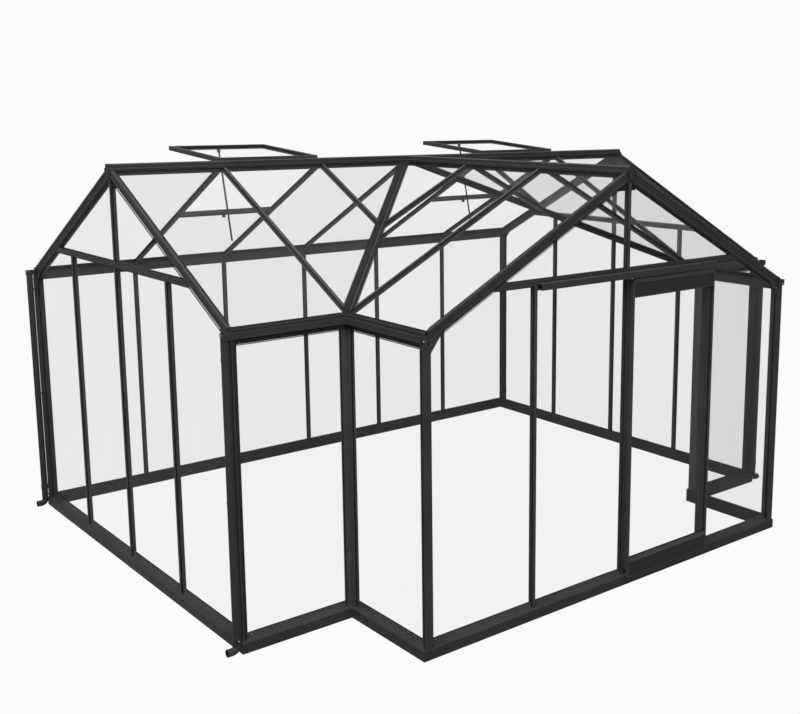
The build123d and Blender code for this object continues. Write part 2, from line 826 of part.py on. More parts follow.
front_cap = end_cap("left_front", False, gutter_overrun, TROUGH_CAP)
wing_cap = end_cap("wing_left", True, wing_gutter_overrun, WING_CAP)
end_caps = [
    end_cap("back", True, gutter_overrun, TROUGH_CAP),
    end_cap("back", False, gutter_overrun, TROUGH_CAP),
    front_cap,
    flip(front_cap),
    wing_cap,
    flip(wing_cap),
]

# Downpipe at the back left corner, with a collar and a bend at its foot
pipe_y = side + pipe_e
foot_end = -gable - pipe_foot_x
pipe_top = trough_z - trough_floor - fit


def tube(radius, drop_top):
    """A round bar of this radius along the pipe's line."""
    drop_foot = pipe_foot_z + pipe_bend_r
    straight = Location((-pipe_x, pipe_y, (drop_top + drop_foot) / 2)) * Cylinder(
        radius, drop_top - drop_foot
    )
    circle = Plane(origin=(-pipe_x, pipe_y, drop_foot), z_dir=(0, 0, -1)) * Circle(radius)
    axis = Axis((-pipe_x - pipe_bend_r, pipe_y, drop_foot), (0, 1, 0))
    bend = revolve(circle, axis, 90)
    if bend.bounding_box().min.Z > pipe_foot_z:
        bend = revolve(circle, axis, -90)
    reach = -pipe_x - pipe_bend_r - foot_end
    spout = Location(((foot_end - pipe_x - pipe_bend_r) / 2, pipe_y, pipe_foot_z)) * (
        Rot(0, 90, 0) * Cylinder(radius, reach)
    )
    return straight + bend + spout


collar = Location((-pipe_x, pipe_y, collar_z)) * Cylinder(collar_d / 2, collar_h)
solid_pipe = tube(pipe_d / 2, pipe_top) + collar
back_left_pipe = solid_pipe - tube(pipe_d / 2 - pipe_wall, pipe_top + 1)
back_right_pipe = flip(back_left_pipe)
front_left_pipe = mirror(back_left_pipe, about=Plane.XZ)
front_right_pipe = flip(front_left_pipe)

# Valleys: a shallow V over the ends of the roof bars on a web
valley_drop = math.atan(tan_p / math.sqrt(2))
arm_tan = math.sin(valley_drop)
arm_cos = math.cos(math.atan(arm_tan))


def valley_line(s, rise):
    """Height in the valley's section, square to a roof face by rise."""
    return abs(s) * arm_tan + rise / arm_cos


def valley_outline(half, web, top, skin, bottom):
    """The V section with its web."""
    right = [
        (0, valley_line(0, top)),
        (half, valley_line(half, top)),
        (half, valley_line(half, top - skin)),
        (web, valley_line(web, top - skin)),
        (web, valley_line(0, bottom)),
    ]
    return right + [(-s, u) for s, u in reversed(right[1:])]


valley_dir = Vector(-math.cos(valley_drop) / math.sqrt(2), -math.cos(valley_drop) / math.sqrt(2),
                    -math.sin(valley_drop))
valley_plane = Plane(
    origin=Vector(0, 0, ridge_line_z) - valley_dir * 10,
    x_dir=Vector(1, -1, 0).normalized(),
    z_dir=valley_dir,
)
if valley_plane.y_dir.Z < 0:
    valley_plane = Plane(
        origin=valley_plane.origin, x_dir=Vector(-1, 1, 0).normalized(), z_dir=valley_dir
    )
valley_len = 2 * side
valley_foot = side - eave_plate_in - rafter_foot_gap
valley_box = block(-valley_foot, 0, -valley_foot, 0, low, high)
valley_long = prism(
    valley_outline(valley_half, valley_web_half, half_bar, valley_skin, -half_bar),
    valley_plane, valley_len,
)
left_valley = (valley_long & valley_box) - main_ridge_keep - wing_ridge_keep
right_valley = flip(left_valley)
valley_keep = prism(
    valley_outline(valley_half + fit, valley_web_half + fit, half_bar + 30, valley_skin + 30 + fit,
                   -half_bar - 30),
    valley_plane, valley_len,
)


def keep_west(shape):
    """The part of a shape on the main roof's side of the left valley."""
    return shape & column([(0, 0), (-far, -far), (-far, 0)], low, high)


BACK = (0, 1)
FRONT = (0, -1)
back_level = slope_plane(BACK, 0).x_dir.X
front_level = slope_plane(FRONT, 0).x_dir.X

# Roof bars
back_bars = [roof_bar(BACK, k * bay) for k in (-2, -1, 0, 1, 2)]
front_bars = []
for k in (-2, -1):
    one = roof_bar(FRONT, front_level * k * bay)
    one = keep_west(one) - valley_keep
    front_bars.append(one)
    front_bars.append(flip(one))


def to_wing(shape):
    """A piece of the front roof, left of the wing, put on the wing's left slope."""
    return turn(mirror(shape, about=Plane.YZ), -90)


# Panes of the roof, in level position along the ridge and run from the ridge
pane_start = ridge_web_w / 2 + 4
pane_end = side - eave_wall_e - 2
verge = gable + rafter_cap_in - gasket


def strip(x0, x1, run0=None, run1=None):
    """A straight pane between two positions along the ridge."""
    r0 = pane_start if run0 is None else run0
    r1 = pane_end if run1 is None else run1
    return [(x0, r0), (x1, r0), (x1, r1), (x0, r1)]


vent_pane_start = vent_sill_run + (vent_sill_web + gasket) * cos_p + glass_inner * sin_p
back_glass = [roof_pane(BACK, strip(-verge, -2 * bay - web_gap))]
back_glass.append(roof_pane(BACK, strip(-2 * bay + web_gap, -bay - web_gap, vent_pane_start)))
back_glass.append(roof_pane(BACK, strip(-bay + web_gap, -web_gap)))
back_glass = back_glass + [flip(pane) for pane in back_glass]

valley_shift = valley_cut_half * math.sqrt(2)


def front_pane(outline):
    """A pane of the front roof; outline in true x and run."""
    return roof_pane(FRONT, [(front_level * x, run) for x, run in outline])


far_x = 2 * bay + web_gap
near_x = bay + web_gap
corner_run = min(pane_end, far_x - valley_shift)
flange_x = ridge_flange_w / 2 + 2
front_left_panes = [
    front_pane([(-verge, pane_start), (-far_x, pane_start), (-far_x, corner_run),
                (-pane_end - valley_shift, pane_end), (-verge, pane_end)]),
    front_pane([(-2 * bay + web_gap, pane_start), (-near_x, pane_start),
                (-near_x, near_x - valley_shift),
                (-2 * bay + web_gap, 2 * bay - web_gap - valley_shift)]),
    front_pane([(-bay + web_gap, pane_start), (-flange_x, pane_start),
                (-flange_x, flange_x - valley_shift),
                (-bay + web_gap, bay - web_gap - valley_shift)]),
]
front_right_panes = [flip(pane) for pane in front_left_panes]
wing_left_panes = [to_wing(pane) for pane in front_left_panes]
wing_right_panes = [flip(pane) for pane in wing_left_panes]
wing_left_bars = [to_wing(front_bars[0]), to_wing(front_bars[2])]
wing_right_bars = [flip(bar) for bar in wing_left_bars]

# Back wall bars and the glass of the side walls
back_bar = wall_bar(eave_bottom_z - fit) - sill_keep
back_bar = Location((0, gable + side, 0)) * mirror(Location((0, gable, 0)) * back_bar, about=Plane.XZ)
back_bar = Location((0, -gable, 0)) * back_bar
back_wall_bars = [Location((k * bay, 0, 0)) * back_bar for k in (-2, -1, 0, 1, 2)]
wall_glass_top = eave_bottom_z - gasket


def side_glass(name, start_off, end_off):
    """Panes of a side wall; offsets count from its start along the wall."""
    _, start, _, out = WALLS[WALL_NAMES.index(name)]
    plane = wall_plane(start, out, -start_off)
    outline = [
        (glass_inner, glass_foot),
        (glass_outer, glass_foot),
        (glass_outer, wall_glass_top),
        (glass_inner, wall_glass_top),
    ]
    return prism(outline, plane, end_off - start_off)


back_stops = [gasket]
for k in (-2, -1, 0, 1, 2):
    back_stops.append(gable + k * bay - web_gap)
    back_stops.append(gable + k * bay + web_gap)
back_stops.append(2 * gable - gasket)
back_wall_glass = []
for k in range(0, len(back_stops), 2):
    back_wall_glass.append(side_glass("back", back_stops[k], back_stops[k + 1]))
inner_edge = inner_post_leg + gasket
left_front_glass = side_glass("left_front", inner_edge, gable - side - gasket)
wing_left_glass = side_glass("wing_left", gasket, gable - side - inner_edge)

# Roof vents: frame hinged beside the ridge cap, glass, crossbar and stay
vent_plane = Plane(
    origin=(0, vent_run0, vent_hinge_top_z),
    x_dir=(1, 0, 0),
    z_dir=(0, -math.sin(rise), math.cos(rise)),
)
vent_x = 1.5 * bay


def vent_block(x0, x1, d0, d1, n0, n1):
    """A block in the vent's own frame: across, outwards and square to it."""
    return vent_plane * block(x0, x1, d0, d1, n0, n1)


vent_frame = vent_block(-vent_half, vent_half, 0, vent_len, -vent_frame_t, 0)
vent_frame = vent_frame - vent_block(
    -vent_half + vent_bar_w, vent_half - vent_bar_w, vent_bar_w, vent_len - vent_bar_w,
    -vent_frame_t - 1, 1,
)
vent_glass_in = vent_bar_w + fit
vent_pane = vent_block(
    -vent_half + vent_glass_in, vent_half - vent_glass_in, vent_glass_in, vent_len - vent_glass_in,
    -vent_glass_drop - glass_t, -vent_glass_drop,
)

sill_half = bay / 2 - bar_flange_w / 2 - fit
vent_sill_outline = [
    (0, -vent_sill_drop),
    (vent_sill_w, -vent_sill_drop),
    (vent_sill_w, glass_inner - 0.5),
    (vent_sill_web, glass_inner - 0.5),
    (vent_sill_web, cap_in),
    (vent_sill_w, cap_in),
    (vent_sill_w, half_bar),
    (0, half_bar),
]
vent_sill_plane = Plane(
    origin=(-sill_half, vent_sill_run, bar_z(vent_sill_run)),
    x_dir=(0, cos_p, -sin_p),
    z_dir=(1, 0, 0),
)
if vent_sill_plane.y_dir.Z < 0:
    vent_sill_plane = Plane(
        origin=(sill_half, vent_sill_run, bar_z(vent_sill_run)),
        x_dir=(0, cos_p, -sin_p),
        z_dir=(-1, 0, 0),
    )
vent_sill = prism(vent_sill_outline, vent_sill_plane, 2 * sill_half)
peg_z = bar_z(vent_sill_run + vent_sill_w / 2) - vent_sill_drop / cos_p
peg_y = vent_sill_run + vent_sill_w / 2
vent_sill = vent_sill + block(
    -stay_w / 2 - peg_gap - peg_w, -stay_w / 2 - peg_gap,
    peg_y - peg_w / 2, peg_y + peg_w / 2, peg_z - peg_h, peg_z + peg_w / 2,
)

# the stay hangs from a bracket on the vent's outer bar and passes inside the crossbar
stay_top = Vector(0, vent_run0 + (vent_len - vent_bar_w / 2) * math.cos(rise),
                  vent_hinge_top_z + (vent_len - vent_bar_w / 2) * math.sin(rise) - vent_frame_t)
stay_foot_run = vent_sill_run - vent_sill_drop * sin_p - stay_t
stay_foot = Vector(0, stay_foot_run, bar_z(stay_foot_run))
stay_dir = (stay_foot - stay_top).normalized()
stay_length = (stay_foot - stay_top).length + stay_tail
stay_plane = Plane(origin=stay_top, x_dir=(1, 0, 0), z_dir=stay_dir)
stay_rod = stay_plane * Location((0, 0, (stay_length + peg_w / 2) / 2)) * (
    Box(stay_w, stay_t, stay_length - peg_w / 2)
)
bracket_top = stay_top.Z - fit - peg_w / 2 * math.tan(rise)
stay_bracket = block(
    -peg_w / 2, peg_w / 2, stay_top.Y - peg_w / 2, stay_top.Y + peg_w / 2,
    bracket_top - peg_h, bracket_top,
)
stay_rod = stay_rod + stay_bracket


NODES = {}


def add(name, shapes):
    """Move the solids of a node into the shared frame and keep them."""
    solids = []
    for shape in shapes:
        solids.extend((Location((0, centre_y, 0)) * shape).solids())
    NODES[name] = solids


add("sill_back", [sill("back")])
add("sill_left", [sill("left")])
add("sill_right", [sill("right")])
add("sill_front_sides", [sill("left_front"), sill("right_front")])
add("sill_wing_sides", [sill("wing_left"), sill("wing_right")])
add("sill_wing_front", [sill("wing_front")])

posts = []
for angle in ARMS.values():
    posts.append(turn(left_post, angle))
    posts.append(turn(flip(left_post), angle))
add("corner_posts", posts)
add("inner_corner_posts", [inner_post, flip(inner_post)])

for arm, angle in ARMS.items():
    bars = [
        centre_bar,
        Location((-bay, 0, 0)) * short_bar,
        Location((bay, 0, 0)) * short_bar,
    ]
    add(arm + "_gable_bars", [turn(bar, angle) for bar in bars])
    add(arm + "_transom", [turn(transom, angle)])
    add(arm + "_gable_rafters", [turn(left_rafter, angle), turn(right_rafter, angle)])
    glass = gable_glass["door" if arm == "wing" else "closed"]
    add(arm + "_gable_glass", [turn(pane, angle) for pane in glass])

gussets, apex_plates, ridge_ends = [], [], []
for angle in ARMS.values():
    gussets.append(turn(left_gusset, angle))
    gussets.append(turn(flip(left_gusset), angle))
    apex_plates.append(turn(apex_plate, angle))
    ridge_ends.append(turn(ridge_end_plate, angle))
add("eave_gussets", gussets)
add("apex_plates", apex_plates)
add("ridge_end_plates", ridge_ends)

add("back_wall_bars", back_wall_bars)
add("main_ridge", [main_ridge])
add("wing_ridge", [wing_ridge])
add("back_roof_bars", back_bars)
add("front_roof_bars", front_bars)
add("wing_roof_bars", wing_left_bars + wing_right_bars)
add("valley_bars", [left_valley, right_valley])

add("back_gutter", [back_gutter])
add("front_gutters", [left_front_gutter, right_front_gutter])
add("wing_gutters", [left_wing_gutter, right_wing_gutter])
add("gutter_end_caps", end_caps)
add("downpipes", [back_left_pipe, back_right_pipe, front_left_pipe, front_right_pipe])

add("back_wall_glass", back_wall_glass)
add("front_side_glass", [left_front_glass, flip(left_front_glass)])
add("wing_side_glass", [wing_left_glass, flip(wing_left_glass)])
add("back_roof_glass", back_glass)
add("front_roof_glass", front_left_panes + front_right_panes)
add("wing_roof_glass", wing_left_panes + wing_right_panes)

for name, shape in (
    ("vent_frames", vent_frame),
    ("vent_glass", vent_pane),
    ("vent_sills", vent_sill),
    ("vent_stays", stay_rod),
):
    add(name, [Location((-vent_x, 0, 0)) * shape, Location((vent_x, 0, 0)) * shape])

# Door rail, guide and leaf, drawn outwards from the wing gable
rail_plane = wall_plane((rail_right, -gable), (0, -1), 0)
half_fit = half_bar + fit
RAIL = [
    (half_fit, rail_bottom_z),
    (rail_slot_from, rail_bottom_z),
    (rail_slot_from, rail_bottom_z + rail_skin),
    (half_fit + rail_skin, rail_bottom_z + rail_skin),
    (half_fit + rail_skin, rail_top - rail_skin),
    (rail_out - rail_skin, rail_top - rail_skin),
    (rail_out - rail_skin, rail_bottom_z + rail_skin),
    (rail_slot_to, rail_bottom_z + rail_skin),
    (rail_slot_to, rail_bottom_z),
    (rail_out, rail_bottom_z),
    (rail_out, rail_top),
    (half_fit, rail_top),
]
door_rail = prism(RAIL, rail_plane, rail_left + rail_right)

guide_in = leaf_mid - guide_gap / 2
guide_out = leaf_mid + guide_gap / 2
GUIDE = [
    (sill_out + fit, guide_bottom_z),
    (guide_out + guide_skin, guide_bottom_z),
    (guide_out + guide_skin, guide_bottom_z + guide_h),
    (guide_out, guide_bottom_z + guide_h),
    (guide_out, guide_bottom_z + guide_skin),
    (guide_in, guide_bottom_z + guide_skin),
    (guide_in, guide_bottom_z + guide_h),
    (guide_in - guide_skin, guide_bottom_z + guide_h),
    (guide_in - guide_skin, guide_bottom_z + guide_skin),
    (sill_out + fit, guide_bottom_z + guide_skin),
]
guide_plane = wall_plane((leaf_to, -gable), (0, -1), 0)
door_guide = prism(GUIDE, guide_plane, leaf_to - leaf_from)


def leaf_block(x0, x1, e0, e1, z0, z1):
    """A block of the leaf, with e counted outwards from the gable plane."""
    return block(x0, x1, -gable - e1, -gable - e0, z0, z1)


panel_face = leaf_out - panel_recess
glass_face = leaf_out - glass_recess
open_x0 = leaf_from + stile_w
open_x1 = leaf_to - stile_w
door_frame = leaf_block(leaf_from, leaf_to, leaf_in, leaf_out, leaf_bottom_z, leaf_top_z)
openings = [
    (head_bottom_z + head_rail, leaf_top_z - leaf_top_rail),
    (kick_top_z, head_bottom_z),
    (leaf_bottom_z + leaf_bottom_rail, kick_top_z - kick_rail),
]
for z0, z1 in openings:
    door_frame = door_frame - leaf_block(open_x0, open_x1, leaf_in - 1, leaf_out + 1, z0, z1)
kick_slope = [
    (leaf_out, kick_top_z - kick_rail),
    (leaf_out + 1, kick_top_z - kick_rail),
    (leaf_out + 1, kick_top_z + 1),
    (glass_face, kick_top_z + 1),
    (glass_face, kick_top_z),
]
door_frame = door_frame - prism(
    kick_slope, wall_plane((open_x1, -gable), (0, -1), 0), open_x1 - open_x0
)
fins = leaf_block(
    leaf_from, leaf_to, leaf_mid - fin_t / 2, leaf_mid + fin_t / 2,
    leaf_bottom_z - fin_h, leaf_top_z + top_fin_h,
) - leaf_block(leaf_from - 1, leaf_to + 1, leaf_in, leaf_out, leaf_bottom_z + 1, leaf_top_z - 1)
for x in (leaf_from + hanger_inset, leaf_to - hanger_inset):
    fins = fins - leaf_block(
        x - hanger_w / 2 - fit, x + hanger_w / 2 + fit, leaf_in, leaf_out, leaf_top_z, rail_top
    )
stile_back = leaf_block(
    leaf_from, leaf_from + stile_web, half_bar + leaf_clear + fit, leaf_in + 1,
    stile_web_z, leaf_top_z,
)
door_frame = door_frame + fins + stile_back


def leaf_sheet(span, thick, outer_face):
    """A sheet that fills one opening of the leaf."""
    return leaf_block(
        open_x0 + fit, open_x1 - fit, outer_face - thick, outer_face, span[0] + fit, span[1] - fit
    )


door_head_panel = leaf_sheet(openings[0], panel_t, panel_face)
door_glass = leaf_sheet(openings[1], glass_t, glass_face)
door_kick_panel = leaf_sheet(openings[2], panel_t, panel_face)

wheel_z = rail_bottom_z + rail_skin + wheel_lift + wheel_d / 2


def disc(x, e0, e1, diameter):
    """A round piece on an axis square to the gable."""
    place = Location((x, -gable - (e0 + e1) / 2, wheel_z))
    return place * (Rot(90, 0, 0) * Cylinder(diameter / 2, e1 - e0))


def hanger(x):
    """Plate, axle, wheel and nut that carry the leaf."""
    plate = leaf_block(
        x - hanger_w / 2, x + hanger_w / 2, hanger_from, hanger_from + hanger_t,
        leaf_top_z, wheel_z + wheel_d / 2,
    )
    wheel = disc(x, wheel_from, wheel_from + wheel_w, wheel_d)
    axle = disc(x, wheel_from + wheel_w, hanger_from, axle_d)
    nut = disc(x, hanger_from + hanger_t, hanger_from + hanger_t + nut_t, nut_d)
    return plate + wheel + axle + nut


add("door_rail", [door_rail])
add("door_guide", [door_guide])
add("door_frame", [door_frame])
add("door_head_panel", [door_head_panel])
add("door_glass", [door_glass])
add("door_kick_panel", [door_kick_panel])
add("door_hangers", [hanger(leaf_from + hanger_inset), hanger(leaf_to - hanger_inset)])

os.makedirs("parts", exist_ok=True)
for name, solids in NODES.items():
    export_step(Compound(children=solids), "parts/" + name + ".step")
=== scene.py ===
# %% [markdown]
# # A T-shaped conservatory of dark aluminium and glass
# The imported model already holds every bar, pane and gutter at its real size. This lesson
# adds what a solid model leaves out: the powder-coated finish, clear glass, rubber seals,
# nuts and bolts, and the light and camera of the photograph.

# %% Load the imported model
import math
import bmesh
import bpy
from mathutils import Euler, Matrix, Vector
from mathutils.bvhtree import BVHTree


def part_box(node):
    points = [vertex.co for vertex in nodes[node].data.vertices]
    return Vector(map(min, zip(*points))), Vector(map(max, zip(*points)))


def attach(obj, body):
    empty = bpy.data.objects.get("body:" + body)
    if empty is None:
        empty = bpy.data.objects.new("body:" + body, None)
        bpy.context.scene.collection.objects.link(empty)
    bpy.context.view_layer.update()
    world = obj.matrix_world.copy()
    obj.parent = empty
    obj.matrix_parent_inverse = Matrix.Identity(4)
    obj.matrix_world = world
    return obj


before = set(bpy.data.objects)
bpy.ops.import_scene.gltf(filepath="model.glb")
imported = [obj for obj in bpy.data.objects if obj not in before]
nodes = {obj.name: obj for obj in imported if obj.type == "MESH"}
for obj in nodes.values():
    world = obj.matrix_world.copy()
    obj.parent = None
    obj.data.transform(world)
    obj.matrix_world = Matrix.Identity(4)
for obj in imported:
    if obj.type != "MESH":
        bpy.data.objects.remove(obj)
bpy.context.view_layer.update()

# %% [markdown]
# ## Sizes that several steps share
# They are the real ones, in metres: the distance between glazing bars, the planes of the
# walls, and the slope of the roof. The wing looks towards -Y.

# %% Shared sizes
BAY = 0.735
GABLE = 2.196
SIDE = 1.5
CENTRE_Y = 0.36
SLOPE = math.radians(27.57)
RIDGE_LINE = 2.534
MM = 0.001


def bar_height(run):
    """Height of the middle of the roof bars at a distance from the ridge."""
    return RIDGE_LINE - run * math.tan(SLOPE)


print("eave height of the bars:", round(bar_height(SIDE), 3), "m")

# %% [markdown]
# ## Colours and nodes
# Colours are chosen as sRGB hex values, as on a paint card. Blender's shaders work in linear
# light, so one function turns a hex value to linear. A second small function adds a node,
# fills its sockets and links what feeds it, so that a whole material reads as a list.


# %% Colour and node helpers
def linear(hex_code):
    """An sRGB hex value as a linear RGBA colour."""
    values = [int(hex_code[i:i + 2], 16) / 255 for i in (1, 3, 5)]
    light = [v / 12.92 if v <= 0.04045 else ((v + 0.055) / 1.055) ** 2.4 for v in values]
    return (*light, 1.0)


def add_node(tree, kind, settings=None, **sockets):
    """A node with its settings; a socket's value is a number, a colour or another socket."""
    node = tree.nodes.new(kind)
    for name, value in (settings or {}).items():
        setattr(node, name, value)
    for name, value in sockets.items():
        key = int(name[1:]) if name[0] == "i" and name[1:].isdigit() else name.replace("_", " ")
        if isinstance(value, bpy.types.NodeSocket):
            tree.links.new(value, node.inputs[key])
        else:
            node.inputs[key].default_value = value
    return node


def new_material(name):
    """An empty material and its tree, cleared of its nodes."""
    material = bpy.data.materials.new(name)
    material.use_nodes = True
    tree = material.node_tree
    tree.nodes.clear()
    return material, tree


def finish_material(tree, shader):
    """Link a shader to the material's output."""
    add_node(tree, "ShaderNodeOutputMaterial", Surface=shader.outputs[0])


def object_place(tree):
    """The object's own coordinates, in metres, so that a texture has a real size."""
    return add_node(tree, "ShaderNodeTexCoord").outputs["Object"]


def vary(tree, noise, low, high):
    """A value that a noise moves between two limits."""
    return add_node(tree, "ShaderNodeMapRange", Value=noise.outputs["Fac"],
                    From_Min=0.3, From_Max=0.7, To_Min=low, To_Max=high).outputs["Result"]


def tinted(tree, hex_code, noise, spread):
    """A colour that a noise makes a little lighter and darker."""
    base = add_node(tree, "ShaderNodeMix", {"data_type": "RGBA", "blend_type": "MULTIPLY"})
    base.inputs[0].default_value = 1.0
    base.inputs[6].default_value = linear(hex_code)
    tree.links.new(vary(tree, noise, 1.0 - spread, 1.0 + spread), base.inputs[7])
    return base.outputs[2]


print("anthracite in linear light:", [round(v, 4) for v in linear("#383a37")][:3])

# %% [markdown]
# ## Powder-coated aluminium
# The frame is extruded aluminium with a baked polyester powder. The powder melts into a
# satin skin with a very fine orange peel, so it is a dielectric paint, not bare metal:
# metallic 0, IOR 1.5, roughness about 0.5. Real orange peel has waves of about 1 mm; here
# they are 6 mm wide so that they still show from five metres. A slow noise changes the
# tone a little along a bar. The specular level is kept low: in an all-white studio, a full
# gloss would wash out every dark face that is seen at a low angle. Each kind of profile
# has its own tone, matched to the photograph. Four of these tones are painted light and
# shade on the one anthracite powder: the glazing bars and the inner corner posts are
# painted lighter to undo the shade in their recesses and in the inner corners, and the
# valleys and ridges are painted darker, as shade over their upward faces.


# %% Powder coat
def powder_coat(name, hex_code, roughness, tone=0.12, sheen=0.07):
    """Satin polyester powder on aluminium."""
    material, tree = new_material(name)
    place = object_place(tree)
    drift = add_node(tree, "ShaderNodeTexNoise", Vector=place, Scale=3.0, Detail=3.0)
    grain = add_node(tree, "ShaderNodeTexNoise", Vector=place, Scale=170.0, Detail=2.0)
    peel = add_node(tree, "ShaderNodeBump", Strength=0.06, Distance=0.0008,
                    Height=grain.outputs["Fac"])
    shader = add_node(tree, "ShaderNodeBsdfPrincipled", IOR=1.5, Specular_IOR_Level=sheen,
                      Base_Color=tinted(tree, hex_code, drift, tone),
                      Roughness=vary(tree, grain, roughness - 0.05, roughness + 0.05),
                      Normal=peel.outputs["Normal"])
    finish_material(tree, shader)
    return material


coat = powder_coat("powder_coated_aluminium_extrusion", "#2e302d", 0.55)
# The bars' copy is painted lighter, to undo the shade in their recesses.
coat_bar_painted_lighter = powder_coat("powder_coated_glazing_bar_extrusion", "#343633", 0.5)
coat_sheet = powder_coat("powder_coated_aluminium_sheet", "#212320", 0.5, tone=0.05)
# The inner posts' copy is painted lighter, to undo the shade in the inner corners.
coat_inner_painted_lighter = powder_coat("powder_coat_inner_posts_painted_lighter_against_shade", "#3e403d", 0.5)
coat_sill = powder_coat("powder_coated_sill_extrusion", "#2e302d", 0.5, sheen=0.04)
# The valleys' copy is painted darker: painted shade over their upward faces.
coat_valley_painted_shade = powder_coat("powder_coat_valleys_painted_shade", "#181a17", 0.65)
# The ridges' copy is painted darker: painted shade over their lit tops.
coat_ridge_painted_shade = powder_coat("powder_coat_ridges_painted_shade", "#262825", 0.55)
coat_gutter = powder_coat("powder_coated_gutter_aluminium", "#2a2c29", 0.52)
coats = (coat, coat_bar_painted_lighter, coat_sheet, coat_inner_painted_lighter, coat_sill, coat_valley_painted_shade, coat_ridge_painted_shade, coat_gutter)
print("finishes:", *[finish.name for finish in coats], sep="\n  ")

# %% [markdown]
# ## Toughened glass
# The panes are 4 mm float glass, heat-toughened. It is clear, with a faint grey cast, and
# it reflects more at a low angle. Each face lets most light straight through, so the
# material is mostly transparent (alpha), and a Layer Weight node raises the alpha a little
# where the pane is seen along its surface. A Fresnel node is not used: on the far face of a
# pane it would report total reflection and turn the glass grey. Rain and dust leave soft
# streaks, drawn as a slow noise stretched down the pane. The front slopes of the main roof
# look a little greyer in the photograph, so they have a second glass that covers more.


# %% Glass
def clear_glass(name, least, most):
    """Float glass that covers a little of what lies behind it, between two amounts."""
    material, tree = new_material(name)
    stretch = add_node(tree, "ShaderNodeMapping", Vector=object_place(tree),
                       Scale=(1.0, 1.0, 0.25))
    film = add_node(tree, "ShaderNodeTexNoise", Vector=stretch.outputs[0], Scale=4.0, Detail=2.0)
    low_angle = add_node(tree, "ShaderNodeLayerWeight", Blend=0.25)
    lift = add_node(tree, "ShaderNodeMapRange", Value=low_angle.outputs["Facing"],
                    From_Min=0.5, From_Max=1.0, To_Min=0.0, To_Max=0.05)
    cover = add_node(tree, "ShaderNodeMath", {"operation": "ADD"},
                     i0=vary(tree, film, least, most), i1=lift.outputs[0])
    shader = add_node(tree, "ShaderNodeBsdfPrincipled", Base_Color=linear("#4a4f4d"),
                      Roughness=0.05, IOR=1.5, Alpha=cover.outputs[0])
    finish_material(tree, shader)
    material.surface_render_method = "BLENDED"
    return material


glass = clear_glass("toughened_float_glass_4mm", 0.045, 0.051)
greyer_roof_glass = clear_glass("toughened_roof_glass_4mm", 0.078, 0.086)
print("glass:", glass.name, greyer_roof_glass.name)

# %% [markdown]
# ## Rubber, acetal and zinc
# The seals are extruded EPDM, a matt black rubber with hardly any gloss. The same black
# also makes the painted shadow strips on the posts and under the gutter. The door wheels
# are moulded acetal, a smooth nylon-like plastic. Screws are zinc-plated steel: a true
# metal, so metallic is 1, with a satin roughness and a faint mottle from the plating bath.
# The same zinc makes the painted highlight dots at the feet of the downpipes.


# %% Small finishes
def plain_finish(name, hex_code, roughness, metallic, mottle_scale, mottle, sheen=0.5):
    """A finish with one colour, mottled a little by a noise of a real size."""
    material, tree = new_material(name)
    speck = add_node(tree, "ShaderNodeTexNoise", Vector=object_place(tree),
                     Scale=mottle_scale, Detail=3.0)
    shader = add_node(tree, "ShaderNodeBsdfPrincipled", Metallic=metallic,
                      Specular_IOR_Level=sheen,
                      Base_Color=tinted(tree, hex_code, speck, mottle),
                      Roughness=vary(tree, speck, roughness - 0.06, roughness + 0.06))
    finish_material(tree, shader)
    return material


black_rubber_and_painted_shadow = plain_finish("epdm_black_and_painted_shadow", "#151515", 0.8, 0.0, 220.0, 0.15, sheen=0.06)
acetal = plain_finish("moulded_acetal", "#1c1c1b", 0.35, 0.0, 90.0, 0.08)
zinc = plain_finish("zinc_plated_steel_and_painted_highlight", "#9a9c9b", 0.38, 1.0, 140.0, 0.12)
print("small finishes:", black_rubber_and_painted_shadow.name, acetal.name, zinc.name)

# %% [markdown]
# ## Dress the nodes
# The solids have the right shape already, so each one keeps its mesh and only gets its
# finish. The rule is read from the node's name.

# %% Give every node its finish
GUTTER_NODES = ("back_gutter", "front_gutters", "wing_gutters", "gutter_end_caps", "downpipes")


def finish_for(name):
    """The material of a node's real piece, or for some profiles a copy with painted light or shade.
    """
    if name == "front_roof_glass":
        return greyer_roof_glass
    if "glass" in name:
        return glass
    if "panel" in name:
        return coat_sheet
    if name == "door_hangers":
        return acetal
    if name in GUTTER_NODES:
        return coat_gutter
    if name == "valley_bars":
        return coat_valley_painted_shade
    if "ridge" in name:
        return coat_ridge_painted_shade
    if name == "inner_corner_posts":
        return coat_inner_painted_lighter
    if name.startswith("sill_"):
        return coat_sill
    if name == "door_frame" or name.endswith("_bars"):
        return coat_bar_painted_lighter
    return coat


for name, obj in nodes.items():
    if not obj.material_slots:
        obj.data.materials.append(finish_for(name))
    for slot in obj.material_slots:
        slot.material = finish_for(name)
print("dressed", len(nodes), "nodes")

# %% [markdown]
# ## Node trees that make small parts
# A seal is the same round bead along many edges, and a bolt is the same bolt at many
# places. Geometry Nodes suit both: the script only makes the guide, which is loose edges or
# loose points, and the tree turns it into solids. The result is read back as a plain mesh,
# and the modifier is removed.


# %% Helpers for node trees
def new_tree(name, sizes):
    """A node tree with a geometry in and out, and one named input for each size."""
    tree = bpy.data.node_groups.new(name, "GeometryNodeTree")
    tree.interface.new_socket("Guide", in_out="INPUT", socket_type="NodeSocketGeometry")
    tree.interface.new_socket("Solid", in_out="OUTPUT", socket_type="NodeSocketGeometry")
    sockets = {}
    for label, value in sizes.items():
        kind = "NodeSocketInt" if isinstance(value, int) else "NodeSocketFloat"
        socket = tree.interface.new_socket(label, in_out="INPUT", socket_type=kind)
        socket.default_value = value
        sockets[label] = socket.identifier
    return tree, add_node(tree, "NodeGroupInput").outputs, sockets


